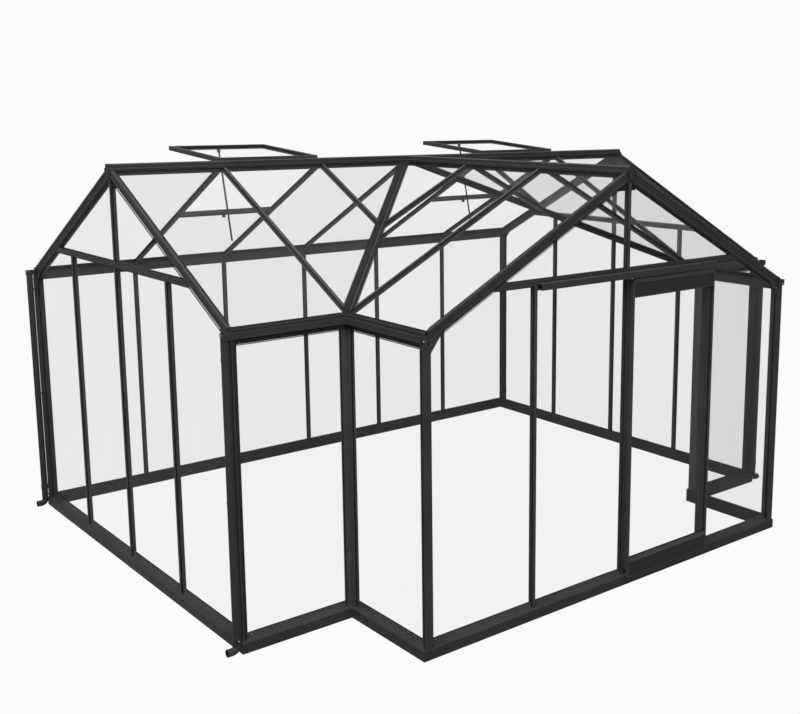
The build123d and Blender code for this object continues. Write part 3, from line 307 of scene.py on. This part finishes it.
def close_tree(tree, geometry, material):
    """Realise the instances, set the material and link the output."""
    solid = add_node(tree, "GeometryNodeRealizeInstances", Geometry=geometry)
    painted = add_node(tree, "GeometryNodeSetMaterial", Geometry=solid.outputs[0],
                       Material=material)
    add_node(tree, "NodeGroupOutput", i0=painted.outputs[0])


def grow(name, guide_mesh, tree, sockets, sizes, body):
    """Run a tree on a guide mesh and keep what it makes as a plain mesh on a body."""
    piece = bpy.data.objects.new(name, guide_mesh)
    bpy.context.scene.collection.objects.link(piece)
    modifier = piece.modifiers.new("nodes", "NODES")
    modifier.node_group = tree
    for label, value in sizes.items():
        modifier[sockets[label]] = value
    made = piece.evaluated_get(bpy.context.evaluated_depsgraph_get())
    mesh = bpy.data.meshes.new_from_object(made)
    piece.modifiers.remove(modifier)
    piece.data = mesh
    mesh.name = name
    return keep(piece, body)


def keep(piece, body):
    """Turn all faces outwards, count them and let the piece ride on its body."""
    bm = bmesh.new()
    bm.from_mesh(piece.data)
    bmesh.ops.recalc_face_normals(bm, faces=bm.faces)
    bm.to_mesh(piece.data)
    bm.free()
    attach(piece, body)
    print(piece.name, "on", body, "with", len(piece.data.polygons), "faces")
    return piece


# %% [markdown]
# ## Glazing seals
# On the real building a black EPDM bead runs round every pane, inside and outside, where the
# glass comes out from under its aluminium profile. Drawing them by hand would mean several
# hundred lengths. Instead the script takes the two large faces of each pane, and from each
# edge it steps inwards and sends out a ray until no profile covers the glass any more. The
# bead lies there. It is drawn 3.8 mm thick, about the width of its visible lip. The foot of
# a wall pane has none: the seal on the sill, drawn in a later step, closes it.

# %% Find where the glass comes free
BEAD_R = 1.9 * MM
STEP = 0.5 * MM
COVER_REACH = 60 * MM
LOOK_UP = 9 * MM
LARGE_FACE = 0.01
FOOT_Z = 0.12
WELD = 0.01 * MM
RAY_START = 0.2 * MM
TRY_AT = (0.25, 0.5, 0.75)
NEARLY_PARALLEL = 0.05
BEAD_LIFT = BEAD_R * 0.4


def search_tree(names):
    """One search tree for rays, made of the named nodes' faces."""
    points = []
    faces = []
    for name in names:
        start = len(points)
        points += [v.co.copy() for v in nodes[name].data.vertices]
        faces += [[start + i for i in face.vertices] for face in nodes[name].data.polygons]
    return BVHTree.FromPolygons(points, faces)


def pane_faces(name):
    """The large flat faces of the panes in a node: their normals and corners."""
    bm = bmesh.new()
    bm.from_mesh(nodes[name].data)
    bmesh.ops.remove_doubles(bm, verts=bm.verts, dist=WELD)
    bmesh.ops.dissolve_limit(bm, angle_limit=0.01, verts=bm.verts, edges=bm.edges)
    bm.normal_update()
    found = [(f.normal.copy(), [v.co.copy() for v in f.verts])
             for f in bm.faces if f.calc_area() > LARGE_FACE]
    bm.free()
    return found


def free_inset(tree, point, inward, normal):
    """How far inwards from a pane's edge the glass comes out from under its profile."""
    for i in range(int(COVER_REACH / STEP)):
        start = point + inward * (i * STEP) + normal * RAY_START
        if tree.ray_cast(start, normal, LOOK_UP)[0] is None:
            return i * STEP
    return None


def bead_lines(tree, normal, corners):
    """End points of the bead along each edge of one pane face."""
    lines = []
    count = len(corners)
    for i in range(count):
        a, b = corners[i], corners[(i + 1) % count]
        along = (b - a).normalized()
        inward = normal.cross(along)
        tries = [free_inset(tree, a.lerp(b, t), inward, normal) for t in TRY_AT]
        tries = sorted(t for t in tries if t is not None)
        inset = tries[len(tries) // 2] + BEAD_R if tries else None
        lines.append((a, along, inward, inset))
    made = []
    for i in range(count):
        a, along, inward, inset = lines[i]
        if inset is None or max(a.z, corners[(i + 1) % count].z) < FOOT_Z:
            continue
        ends = []
        for j in (i - 1, (i + 1) % count):
            p, q_along, q_inward, q_inset = lines[j]
            meet = q_inward.dot(along)
            if abs(meet) < NEARLY_PARALLEL:
                break
            base = a + inward * inset
            ends.append(base + along * (((p - base).dot(q_inward) + (q_inset or 0)) / meet))
        if len(ends) == 2 and (ends[1] - ends[0]).dot(along) > 0:
            made.append([end + normal * BEAD_LIFT for end in ends])
    return made


def line_mesh(name, lines):
    """A mesh of loose edges."""
    mesh = bpy.data.meshes.new(name)
    points = [p for line in lines for p in line]
    mesh.from_pydata(points, [(i, i + 1) for i in range(0, len(points), 2)], [])
    return mesh


seal_tree, given, seal_sockets = new_tree("epdm_bead", {"Bead Radius": BEAD_R, "Sides": 8})
path = add_node(seal_tree, "GeometryNodeMeshToCurve", Mesh=given["Guide"])
ring = add_node(seal_tree, "GeometryNodeCurvePrimitiveCircle", Resolution=given["Sides"],
                Radius=given["Bead Radius"])
swept = add_node(seal_tree, "GeometryNodeCurveToMesh", Curve=path.outputs[0],
                 Profile_Curve=ring.outputs[0], Fill_Caps=True)
close_tree(seal_tree, swept.outputs[0], black_rubber_and_painted_shadow)

FIXED_DOOR_GEAR = ("door_rail", "door_guide")
door_nodes = [name for name in nodes
              if name.startswith("door_") and name not in FIXED_DOOR_GEAR]
house_nodes = [name for name in nodes if name not in door_nodes]
GLAZED = {
    "wall_glazing_seals": ("house", [n for n in house_nodes if "glass" in n and "roof" not in n
                                     and "vent" not in n]),
    "roof_glazing_seals": ("house", [n for n in house_nodes if "roof_glass" in n or
                                     ("vent" in n and "glass" in n)]),
    "door_glazing_seals": ("door", ["door_glass"]),
}
house_cover = search_tree([n for n in house_nodes if "glass" not in n])
door_cover = search_tree([n for n in door_nodes if "glass" not in n])
for name, (body, panes) in GLAZED.items():
    cover = house_cover if body == "house" else door_cover
    lines = []
    for pane in panes:
        for normal, corners in pane_faces(pane):
            lines += bead_lines(cover, normal, corners)
    grow(name, line_mesh(name, lines), seal_tree, seal_sockets, {"Bead Radius": BEAD_R}, body)
    print(name, "lengths:", len(lines))

# %% [markdown]
# ## Door edge lips and corner cleats
# The leaf closes beside the middle bar on the left and over a bar on the right. Thin
# aluminium lips on both stiles hide the gap between leaf and bar, with 5 mm of air so that
# the leaf still slides. At each eave corner the gusset plate has a folded top edge that
# fills the space under the sloping toe of the rafter.

# %% Lips and cleats
DOOR_E = 33 * MM
LEAF_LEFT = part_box("door_frame")[0].x
LEAF_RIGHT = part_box("door_frame")[1].x
LEAF_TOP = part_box("door_glass")[1].z
LIP_T = 1.8 * MM


def piece_from(bm, name, material):
    """A piece with one material, made of a finished bmesh."""
    mesh = bpy.data.meshes.new(name)
    bm.to_mesh(mesh)
    bm.free()
    mesh.materials.append(material)
    piece = bpy.data.objects.new(name, mesh)
    bpy.context.scene.collection.objects.link(piece)
    return piece


def beam_mesh(name, beams, material):
    """A mesh of closed beams, each between two end outlines of as many points."""
    bm = bmesh.new()
    for first, last in beams:
        low = [bm.verts.new(p) for p in first]
        high = [bm.verts.new(p) for p in last]
        bm.faces.new(low)
        bm.faces.new(high)
        for i in range(len(low)):
            j = (i + 1) % len(low)
            bm.faces.new((low[i], low[j], high[j], high[i]))
    return piece_from(bm, name, material)


def from_wing(arm, across, out, height):
    """A point given at the wing gable, turned to the gable of an arm."""
    y = -(GABLE + out)
    spots = {"wing": (across, y), "left": (y, -across), "right": (-y, across)}
    return Vector((spots[arm][0], spots[arm][1] + CENTRE_Y, height))


def upright(arm, x0, x1, e0, e1, z0, z1):
    """An upright beam of rectangular section at a gable."""
    corners = ((x0, e0), (x1, e0), (x1, e1), (x0, e1))
    return [[from_wing(arm, x, e, z) for x, e in corners] for z in (z0, z1)]


LEFT_LIP = 9 * MM
RIGHT_LIP = 24 * MM
STILE = 10 * MM
WEB_E = 21.3 * MM
LIP_FOOT = 0.102
HEAD_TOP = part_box("door_head_panel")[1].z + 26 * MM
glass_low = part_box("door_glass")[0].z
keep(beam_mesh("door_edge_lips", [
    upright("wing", LEAF_LEFT - LEFT_LIP, LEAF_LEFT, WEB_E, WEB_E + LIP_T, LIP_FOOT, HEAD_TOP),
    upright("wing", LEAF_RIGHT - STILE - RIGHT_LIP, LEAF_RIGHT - STILE, DOOR_E, DOOR_E + LIP_T,
            glass_low, LEAF_TOP),
], coat_bar_painted_lighter), "door")

ARM_NAMES = ("wing", "left", "right")
RAFTER_DROP = 4 * MM
RAFTER_DEPTH = 43.7 * MM
TOE_LINE = RIDGE_LINE - RAFTER_DROP - RAFTER_DEPTH / math.cos(SLOPE)
GUSSET_RUN = SIDE - 36 * MM
GUSSET_REACH = 75 * MM
PLATE_E = 13 * MM
PLATE_FACE = PLATE_E + 3 * MM
CLEAT_H = 10.5 * MM


def gable_line(run, rise):
    """Height at a distance from the middle of a gable, square to the rafter by rise."""
    return TOE_LINE - run * math.tan(SLOPE) + rise / math.cos(SLOPE)


def cleat(arm, side):
    """The folded edge over one gusset plate."""
    ends = []
    for run in (GUSSET_RUN - GUSSET_REACH, GUSSET_RUN):
        section = ((PLATE_E, 0), (PLATE_FACE, 0), (PLATE_FACE, CLEAT_H + 3 * MM),
                   (PLATE_E, CLEAT_H))
        ends.append([from_wing(arm, side * run, e, gable_line(run, n)) for e, n in section])
    return ends


keep(beam_mesh("gusset_cleats", [cleat(arm, side) for arm in ARM_NAMES for side in (-1, 1)],
               coat), "house")

# %% [markdown]
# ## Eave gaskets and a painted shadow strip
# A flat rubber gasket lies on the clamping plate of each eave. A thin black strip under the
# gutter's fascia is painted shadow: it draws the dark line of the shade that the fascia casts
# on the eave box. Seen from outside they are the black lines above and below the gutter. At
# the inner corners of the plan they are mitred, so each length is a beam between two end
# outlines, and not a straight extrusion.

# %% Eave gaskets and the painted shadow strip
PLATE_RISE = 20.1 * MM
GASKET_T = 1.4 * MM
GASKET_IN = -21 * MM
GASKET_OUT = -6 * MM
BOX_TOP = 1.722
BOX_OUT = 8 * MM
FASCIA_SHADOW_T = 1.5 * MM


def eave_point(wall, along, e, z):
    """A point at a side wall: e outwards, and along counted from the middle of the plan."""
    out = SIDE + e
    spots = {"back": (along, out), "front": (along, -out), "wing": (-out, along),
             "wing_right": (out, along)}
    return Vector((spots[wall][0], spots[wall][1] + CENTRE_Y, z))


def plate_height(e, rise):
    """Height of the eave's clamping plate at a distance outside the wall."""
    return bar_height(SIDE + e) + rise / math.cos(SLOPE)


def eave_beam(wall, start, end, profile):
    """A beam along an eave. Each end is a place and how it shifts with the distance e."""
    return [[eave_point(wall, place + shift * e, e, z) for e, z in profile]
            for place, shift in (start, end)]


flat = [(e, plate_height(e, rise)) for e, rise in (
    (GASKET_IN, PLATE_RISE), (GASKET_OUT, PLATE_RISE),
    (GASKET_OUT, PLATE_RISE + GASKET_T), (GASKET_IN, PLATE_RISE + GASKET_T))]
# The thin strip under the fascia is painted shadow, a black line where the fascia's shade falls.
fascia_painted_shadow = [(BOX_OUT, BOX_TOP - 6 * MM), (BOX_OUT + FASCIA_SHADOW_T, BOX_TOP - 6 * MM),
         (BOX_OUT + FASCIA_SHADOW_T, BOX_TOP + 1 * MM), (BOX_OUT, BOX_TOP + 1 * MM)]
VERGE = GABLE + 26 * MM
WING_VERGE = GABLE + 19 * MM
beams = []
for profile in (flat, fascia_painted_shadow):
    beams.append(eave_beam("back", (-VERGE, 0), (VERGE, 0), profile))
    for side in (-1, 1):
        beams.append(eave_beam("front", (side * VERGE, 0), (side * SIDE, side), profile))
    for wall in ("wing", "wing_right"):
        beams.append(eave_beam(wall, (-WING_VERGE, 0), (-SIDE, -1), profile))
keep(beam_mesh("eave_gaskets_and_painted_shadow", beams, black_rubber_and_painted_shadow), "house")

# %% [markdown]
# ## Painted shadow lines on the posts, and seals in the valleys
# Two black strips run up the side face of each corner post of the main part. They are
# painted shadow: the dark lines of the shade in the gap beside the downpipe and at the edge
# of the screw cover. The wing's posts have one such strip, and a packer closes the space
# between each post head and its gutter. The valley profiles carry a rubber seal on each side
# of their fold and one further out on the wing's side, where the sloping panes are cut off
# at an angle. A flat trim lies between those two.

# %% Post shadow lines and valley seals
POST_FACE = SIDE + 16 * MM
SEAL_AND_SHADOW_T = 1.2 * MM
POST_FOOT = 0.083
POST_TOP = 1.694
GUTTER_UNDER = 1.7278
MAIN_POST_SHADOW_STRIPS = ((20, 25), (4, 8))
WING_POST_SHADOW_STRIPS = ((9, 16),)
PACKER_IN = 8.4 * MM
PACKER_OUT = 24.6 * MM
PACKER_LAP = 1 * MM
post_painted_shadows = []
packers = []
for arm in ARM_NAMES:
    shadow_bands = WING_POST_SHADOW_STRIPS if arm == "wing" else MAIN_POST_SHADOW_STRIPS
    for side in (-1, 1):
        for e0, e1 in shadow_bands:
            post_painted_shadows.append(upright(arm, side * POST_FACE, side * (POST_FACE + SEAL_AND_SHADOW_T),
                                      e0 * MM, e1 * MM, POST_FOOT, POST_TOP))
        packers.append(upright(arm, side * (SIDE + PACKER_IN), side * POST_FACE,
                               0, PACKER_OUT, POST_TOP - PACKER_LAP, GUTTER_UNDER))
# The black strips on the posts are painted shadow, dark lines where the gaps are shaded.
keep(beam_mesh("post_painted_shadow_lines", post_painted_shadows, black_rubber_and_painted_shadow), "house")
keep(beam_mesh("post_head_packers", packers, coat_bar_painted_lighter), "house")

VALLEY_RISE = 16 * MM
VALLEY_FROM = 0.105
VALLEY_TO = SIDE - 0.03
MAIN_FOLD_SEAL = (0.2, 3.5)
WING_FOLD_SEAL = (0.2, 5.5)
VALLEY_TRIM = (5.5, 13)
WING_OUTER_SEAL = (13, 18)
TRIM_T = 2.2 * MM


def valley_point(r, s, rise, mirror, wing_side):
    """A point on a valley flange: r from the ridges, s across from the fold."""
    drift = s / math.sqrt(2)
    x, y = -r - drift, -r + drift
    if wing_side:
        x, y = y, x
    height = bar_height(r - drift) + rise / math.cos(SLOPE)
    return Vector((mirror * x, y + CENTRE_Y, height))


def valley_strip(s0, s1, thick, mirror, wing_side):
    """A strip along a valley flange, between two distances from the fold."""
    section = ((s0, 0), (s1, 0), (s1, thick), (s0, thick))
    return [[valley_point(r, s * MM, VALLEY_RISE + up, mirror, wing_side) for s, up in section]
            for r in (VALLEY_FROM, VALLEY_TO)]


valley_lines = []
valley_trims = []
for mirror in (-1, 1):
    valley_lines.append(valley_strip(*MAIN_FOLD_SEAL, SEAL_AND_SHADOW_T, mirror, False))
    valley_lines.append(valley_strip(*WING_FOLD_SEAL, SEAL_AND_SHADOW_T, mirror, True))
    valley_lines.append(valley_strip(*WING_OUTER_SEAL, SEAL_AND_SHADOW_T, mirror, True))
    valley_trims.append(valley_strip(*VALLEY_TRIM, TRIM_T, mirror, True))
keep(beam_mesh("valley_seals", valley_lines, black_rubber_and_painted_shadow), "house")
keep(beam_mesh("valley_trims", valley_trims, coat_bar_painted_lighter), "house")

# %% [markdown]
# ## Seals on the sills and verges
# A flat seal lies on the upstand of every sill, inside the glass; on the wing's front it
# ends at the door. Another lies on the cap of every gable rafter. They draw the thin black
# lines along the foot of each wall and along each verge.

# %% Sill and verge seals
SILL_TOP = 0.094
CORNER = 45 * MM
SILL_SEAL = ((12, 0), (19, 0), (19, 1.6), (12, 1.6))
DOOR_STOP = LEAF_LEFT - 0.06
sill_lines = []


def sill_strip(start, end, inward):
    """A flat strip on the upstand along one straight of the plan."""
    first = Vector((start[0], start[1] + CENTRE_Y, SILL_TOP))
    last = Vector((end[0], end[1] + CENTRE_Y, SILL_TOP))
    along = (last - first).normalized() * CORNER
    side = Vector((inward[0], inward[1], 0))
    rims = []
    for place in (first + along, last - along):
        rims.append([place + side * (e * MM) + Vector((0, 0, up * MM)) for e, up in SILL_SEAL])
    return rims


sill_lines.append(sill_strip((-GABLE, SIDE), (GABLE, SIDE), (0, -1)))
sill_lines.append(sill_strip((-SIDE, -GABLE), (DOOR_STOP, -GABLE), (0, 1)))
for sx in (-1, 1):
    sill_lines.append(sill_strip((sx * GABLE, -SIDE), (sx * GABLE, SIDE), (-sx, 0)))
    sill_lines.append(sill_strip((sx * GABLE, -SIDE), (sx * SIDE, -SIDE), (0, 1)))
    sill_lines.append(sill_strip((sx * SIDE, -GABLE), (sx * SIDE, -SIDE), (-sx, 0)))
keep(beam_mesh("sill_top_seals", sill_lines, black_rubber_and_painted_shadow), "house")

CAP_TOP = 23 * MM
CAP_LINE = RIDGE_LINE - RAFTER_DROP
VERGE_RUNS = (30 * MM, SIDE - 40 * MM)
VERGE_SEAL = ((-1.5, CAP_TOP), (4, CAP_TOP), (4, CAP_TOP + SEAL_AND_SHADOW_T), (-1.5, CAP_TOP + SEAL_AND_SHADOW_T))
verge_lines = []
for arm in ARM_NAMES:
    for side in (-1, 1):
        rims = []
        for run in VERGE_RUNS:
            low = CAP_LINE - run * math.tan(SLOPE)
            rims.append([from_wing(arm, side * run, e * MM, low + rise / math.cos(SLOPE))
                         for e, rise in VERGE_SEAL])
        verge_lines.append(rims)
keep(beam_mesh("verge_seals", verge_lines, black_rubber_and_painted_shadow), "house")

# %% [markdown]
# ## Bolts, screws and painted highlights on the pipes
# The gussets and apex plates are held by M6 hexagon bolts with a washer, blackened so that
# they hardly show. The gutter caps have bright zinc pan-head screws. The same bright zinc
# head on each lowest pipe clip is a painted highlight: it stands for the light streak at
# the bend at the foot of each downpipe. Small pins stand at the outer corners of each short
# front wall, above and below.
# Both come from one tree: a washer, a head and a chamfered top, placed at loose points. An
# attribute gives each point the direction of its bolt, and a random turn with a fixed seed
# keeps the hexagons from all standing alike.

# %% Bolt tree
BOLT = {"Head Radius": 5.5 * MM, "Head Height": 4.0 * MM, "Head Sides": 6,
        "Washer Radius": 7.5 * MM, "Washer Height": 1.2 * MM, "Seed": 11}


def bolt_tree(name, material):
    """A node tree that stands a bolt on every point of the guide."""
    tree, given, sockets = new_tree(name, BOLT)
    washer = add_node(tree, "GeometryNodeMeshCylinder", Vertices=20,
                      Radius=given["Washer Radius"], Depth=given["Washer Height"])
    head = add_node(tree, "GeometryNodeMeshCylinder", Vertices=given["Head Sides"],
                    Radius=given["Head Radius"], Depth=given["Head Height"])
    crown_r = add_node(tree, "ShaderNodeMath", {"operation": "MULTIPLY"},
                       i0=given["Head Radius"], i1=0.8)
    crown_h = add_node(tree, "ShaderNodeMath", {"operation": "MULTIPLY"},
                       i0=given["Head Height"], i1=0.3)
    crown = add_node(tree, "GeometryNodeMeshCone", Vertices=given["Head Sides"],
                     Radius_Top=crown_r.outputs[0], Radius_Bottom=given["Head Radius"],
                     Depth=crown_h.outputs[0])
    half = add_node(tree, "ShaderNodeMath", {"operation": "MULTIPLY"},
                    i0=given["Head Height"], i1=0.5)
    lift_head = add_node(tree, "ShaderNodeMath", {"operation": "ADD"},
                         i0=half.outputs[0], i1=given["Washer Height"])
    lift_crown = add_node(tree, "ShaderNodeMath", {"operation": "ADD"},
                          i0=given["Head Height"], i1=given["Washer Height"])
    lift_washer = add_node(tree, "ShaderNodeMath", {"operation": "MULTIPLY"},
                           i0=given["Washer Height"], i1=0.5)
    parts = add_node(tree, "GeometryNodeJoinGeometry")
    for part, lift in ((washer, lift_washer), (head, lift_head), (crown, lift_crown)):
        move = add_node(tree, "ShaderNodeCombineXYZ", Z=lift.outputs[0])
        moved = add_node(tree, "GeometryNodeTransform", Geometry=part.outputs[0],
                         Translation=move.outputs[0])
        tree.links.new(moved.outputs[0], parts.inputs[0])
    axis = add_node(tree, "GeometryNodeInputNamedAttribute", {"data_type": "FLOAT_VECTOR"},
                    Name="axis")
    aim = add_node(tree, "FunctionNodeAlignRotationToVector", {"axis": "Z"},
                   Vector=axis.outputs[0])
    spin = add_node(tree, "FunctionNodeRandomValue", {"data_type": "FLOAT"}, Seed=given["Seed"])
    spin.inputs[3].default_value = math.tau
    about = add_node(tree, "FunctionNodeAxisAngleToRotation", Axis=(0, 0, 1),
                     Angle=spin.outputs[1])
    turned = add_node(tree, "FunctionNodeRotateRotation", {"rotation_space": "LOCAL"},
                      Rotation=aim.outputs[0], Rotate_By=about.outputs[0])
    spots = add_node(tree, "GeometryNodeInstanceOnPoints", Points=given["Guide"],
                     Instance=parts.outputs[0], Rotation=turned.outputs[0])
    close_tree(tree, spots.outputs[0], material)
    return tree, sockets


def point_mesh(name, spots):
    """Loose points with the direction of each bolt as an attribute."""
    mesh = bpy.data.meshes.new(name)
    mesh.from_pydata([place for place, _ in spots], [], [])
    axis = mesh.attributes.new("axis", "FLOAT_VECTOR", "POINT")
    axis.data.foreach_set("vector", [value for _, way in spots for value in way])
    return mesh


# %% Place the bolts
def out_of(arm):
    """The outward direction of an arm's gable."""
    return from_wing(arm, 0, 1, 0) - from_wing(arm, 0, 0, 0)


GUSSET_BOLTS = ((10 * MM, 13 * MM), (10 * MM, 38 * MM), (38 * MM, 12 * MM))
APEX_BOLTS = (-58 * MM, -30 * MM, 30 * MM, 58 * MM)
APEX_DROP = 62 * MM
APEX_FACE = -20.2 * MM
bolts = []
for arm in ARM_NAMES:
    way = out_of(arm)
    for side in (-1, 1):
        for back, down in GUSSET_BOLTS:
            run = GUSSET_RUN - back
            spot = from_wing(arm, side * run, PLATE_FACE, gable_line(run, 0) - down)
            bolts.append((spot, way))
    for across in APEX_BOLTS:
        drop = APEX_DROP + abs(across) * math.tan(SLOPE)
        bolts.append((from_wing(arm, across, APEX_FACE, RIDGE_LINE - drop), -way))
black_bolt = plain_finish("blackened_zinc_steel", "#20211f", 0.42, 0.0, 160.0, 0.1)
tree, sockets = bolt_tree("hexagon_bolt", black_bolt)
grow("plate_bolts", point_mesh("plate_bolts", bolts), tree, sockets, {"Seed": 11}, "house")

# %% Place the bright screws and the painted highlights on the pipes
CAP_E = 12 * MM
WING_CAP_FACE = 28.1 * MM
WING_CAP_Z = 1.7355
MAIN_CAP_FACE = 71.1 * MM
MAIN_CAP_Z = 1.754
PIPE_X = GABLE + 52 * MM
PIPE_Y = SIDE + 9 * MM
PIPE_R = 21.5 * MM
CLIP_Z = 0.086
CLIP_T = 1.6 * MM
HIGHLIGHT_DOT_IN = 0.4 * MM
screw_heads_and_highlight_dots = []
for side in (-1, 1):
    across = side * (SIDE + CAP_E)
    screw_heads_and_highlight_dots.append((from_wing("wing", across, WING_CAP_FACE, WING_CAP_Z), (0, -1, 0)))
    for arm in ("left", "right"):
        screw_heads_and_highlight_dots.append((from_wing(arm, across, MAIN_CAP_FACE, MAIN_CAP_Z), out_of(arm)))
    for y_side in (-1, 1):
        # On each pipe's foot a bright zinc head is a painted highlight, where the pipe's bend
        # shines.
        front = Vector((side * PIPE_X, y_side * (PIPE_Y + PIPE_R + HIGHLIGHT_DOT_IN) + CENTRE_Y, CLIP_Z))
        screw_heads_and_highlight_dots.append((front, (0, y_side, 0)))
tree, sockets = bolt_tree("pan_head_screw", zinc)
grow("bright_zinc_heads_and_painted_highlights", point_mesh("bright_zinc_heads_and_painted_highlights", screw_heads_and_highlight_dots), tree, sockets,
     {"Head Sides": 16, "Head Radius": 4.4 * MM, "Head Height": 1.8 * MM,
      "Washer Radius": 5.2 * MM, "Washer Height": 0.6 * MM}, "house")

PIN_R = 2.2 * MM
PIN_ACROSS = 0.663
PIN_SPOTS = ((8 * MM, 1.7035), (12 * MM, 0.0952))
pins = []
for side in (-1, 1):
    for out, height in PIN_SPOTS:
        spot = Vector((side * (SIDE + PIN_ACROSS), -(SIDE + out) + CENTRE_Y, height))
        pins.append((spot, (0, -1, 0)))
grow("pane_corner_pins", point_mesh("pane_corner_pins", pins), tree, sockets,
     {"Head Sides": 12, "Head Radius": PIN_R, "Head Height": 2.4 * MM,
      "Washer Radius": PIN_R * 1.2, "Washer Height": 0.5 * MM}, "house")

# %% [markdown]
# ## Pipe clips
# Three straps hold each downpipe: at its foot, halfway up and under the gutter. Each is a
# short ring with real thickness.

# %% Pipe clips
CLIP_H = 12 * MM
CLIP_STEPS = 32
CLIP_HEIGHTS = (CLIP_Z - CLIP_H / 2, 0.85, 1.62)


def ring_beams(x, y, z):
    """Short beams that close into a ring round a pipe."""
    rims = []
    for i in range(CLIP_STEPS):
        turn = math.tau * i / CLIP_STEPS
        ray = Vector((math.cos(turn), math.sin(turn), 0))
        rims.append([Vector((x, y, height)) + ray * radius
                     for radius, height in ((PIPE_R, z), (PIPE_R + CLIP_T, z),
                                            (PIPE_R + CLIP_T, z + CLIP_H), (PIPE_R, z + CLIP_H))])
    return rims


def ring_mesh(name, places, material):
    """Closed rings round the pipes, as one mesh."""
    bm = bmesh.new()
    for x, y, z in places:
        rims = [[bm.verts.new(p) for p in rim] for rim in ring_beams(x, y, z)]
        for i in range(CLIP_STEPS):
            a, b = rims[i], rims[(i + 1) % CLIP_STEPS]
            for j in range(4):
                k = (j + 1) % 4
                bm.faces.new((a[j], b[j], b[k], a[k]))
    return piece_from(bm, name, material)


clips = [(sx * PIPE_X, sy * PIPE_Y + CENTRE_Y, z) for sx in (-1, 1) for sy in (-1, 1)
         for z in CLIP_HEIGHTS]
keep(ring_mesh("pipe_clips", clips, coat_gutter), "house")

# %% [markdown]
# ## Camera
# The photograph was taken from the front left, a little above eye height, with a normal
# lens. The position, turn and lens come from the building's own right angles: the bays are
# equal and the corners square, so the camera follows from where they fall in the picture.

# %% Camera
scene = bpy.context.scene
lens = bpy.data.cameras.new("camera")
camera = bpy.data.objects.new("camera", lens)
scene.collection.objects.link(camera)
lens.sensor_width = 36.0
lens.lens = 49.96
lens.shift_x = -0.1101
lens.shift_y = -0.0616
camera.location = (-4.7869, -6.6410 + CENTRE_Y, 2.8702)
camera.rotation_euler = Euler([math.radians(a) for a in (80.0804, 0.0030, -39.9502)], "XYZ")
scene.camera = camera
print("camera at", [round(v, 2) for v in camera.location])

# %% [markdown]
# ## Light and backdrop
# The photograph has soft light from all sides and a white ground. The world gives the even
# light, a large lamp from the upper left makes the upward faces a little brighter, and a
# weaker one from the front lifts the faces of the wing. To keep the ground white without
# more light on the object, the floor and the world show a plain white to the camera and to
# reflections, found with a Light Path node.


# %% World, lamps and floor
FLOOR_WHITE = 0.98
FLOOR_HALF = 60


def white_to_view(tree, inner):
    """Mix a plain white in for what the camera, gloss and glass see."""
    path = add_node(tree, "ShaderNodeLightPath")
    seen = add_node(tree, "ShaderNodeMath", {"operation": "MAXIMUM"},
                    i0=path.outputs["Is Camera Ray"], i1=path.outputs["Is Glossy Ray"])
    seen = add_node(tree, "ShaderNodeMath", {"operation": "MAXIMUM"},
                    i0=seen.outputs[0], i1=path.outputs["Is Transmission Ray"])
    return seen, add_node(tree, "ShaderNodeMixShader", Fac=seen.outputs[0], i1=inner)


world = bpy.data.worlds.new("soft_light")
scene.world = world
world.use_nodes = True
tree = world.node_tree
tree.nodes.clear()
even = add_node(tree, "ShaderNodeBackground", Color=(1, 1, 1, 1), Strength=0.36)
_, mix = white_to_view(tree, even.outputs[0])
shown = add_node(tree, "ShaderNodeBackground", Color=linear("#fbfbfb"), Strength=1.0)
tree.links.new(shown.outputs[0], mix.inputs[2])
add_node(tree, "ShaderNodeOutputWorld", Surface=mix.outputs[0])


def area_lamp(name, place, target, size, watts):
    """A soft box that looks at a point."""
    lamp = bpy.data.lights.new(name, "AREA")
    lamp.shape = "SQUARE"
    lamp.size = size
    lamp.energy = watts
    obj = bpy.data.objects.new(name, lamp)
    obj.location = place
    obj.rotation_euler = (Vector(target) - Vector(place)).to_track_quat("-Z", "Y").to_euler()
    scene.collection.objects.link(obj)
    return obj


area_lamp("top_soft_box", (-3.7, -3.2, 8.4), (0, 0, 1.0), 6.0, 1350)
area_lamp("front_soft_box", (-3.0, -9.0, 2.6), (0, 0, 1.2), 5.0, 170)

floor_mesh = bpy.data.meshes.new("floor")
corners = [(sx * FLOOR_HALF, sy * FLOOR_HALF, 0) for sx, sy in ((-1, -1), (1, -1), (1, 1), (-1, 1))]
floor_mesh.from_pydata(corners, [], [(0, 1, 2, 3)])
floor = bpy.data.objects.new("floor", floor_mesh)
scene.collection.objects.link(floor)
floor.location.z = -1 * MM
ground, tree = new_material("matt_white_studio_floor")
matt = add_node(tree, "ShaderNodeBsdfDiffuse", Color=linear("#626262"))
seen, mix = white_to_view(tree, matt.outputs[0])
plain = add_node(tree, "ShaderNodeEmission", Color=(1, 1, 1, 1), Strength=FLOOR_WHITE)
tree.links.new(plain.outputs[0], mix.inputs[2])
share = add_node(tree, "ShaderNodeMath", {"operation": "MULTIPLY"},
                 i0=seen.outputs[0], i1=FLOOR_WHITE)
tree.links.new(share.outputs[0], mix.inputs[0])
finish_material(tree, mix)
floor.data.materials.append(ground)
print("lamps:", len(bpy.data.lights))

# %% View settings
scene.view_settings.view_transform = "Standard"
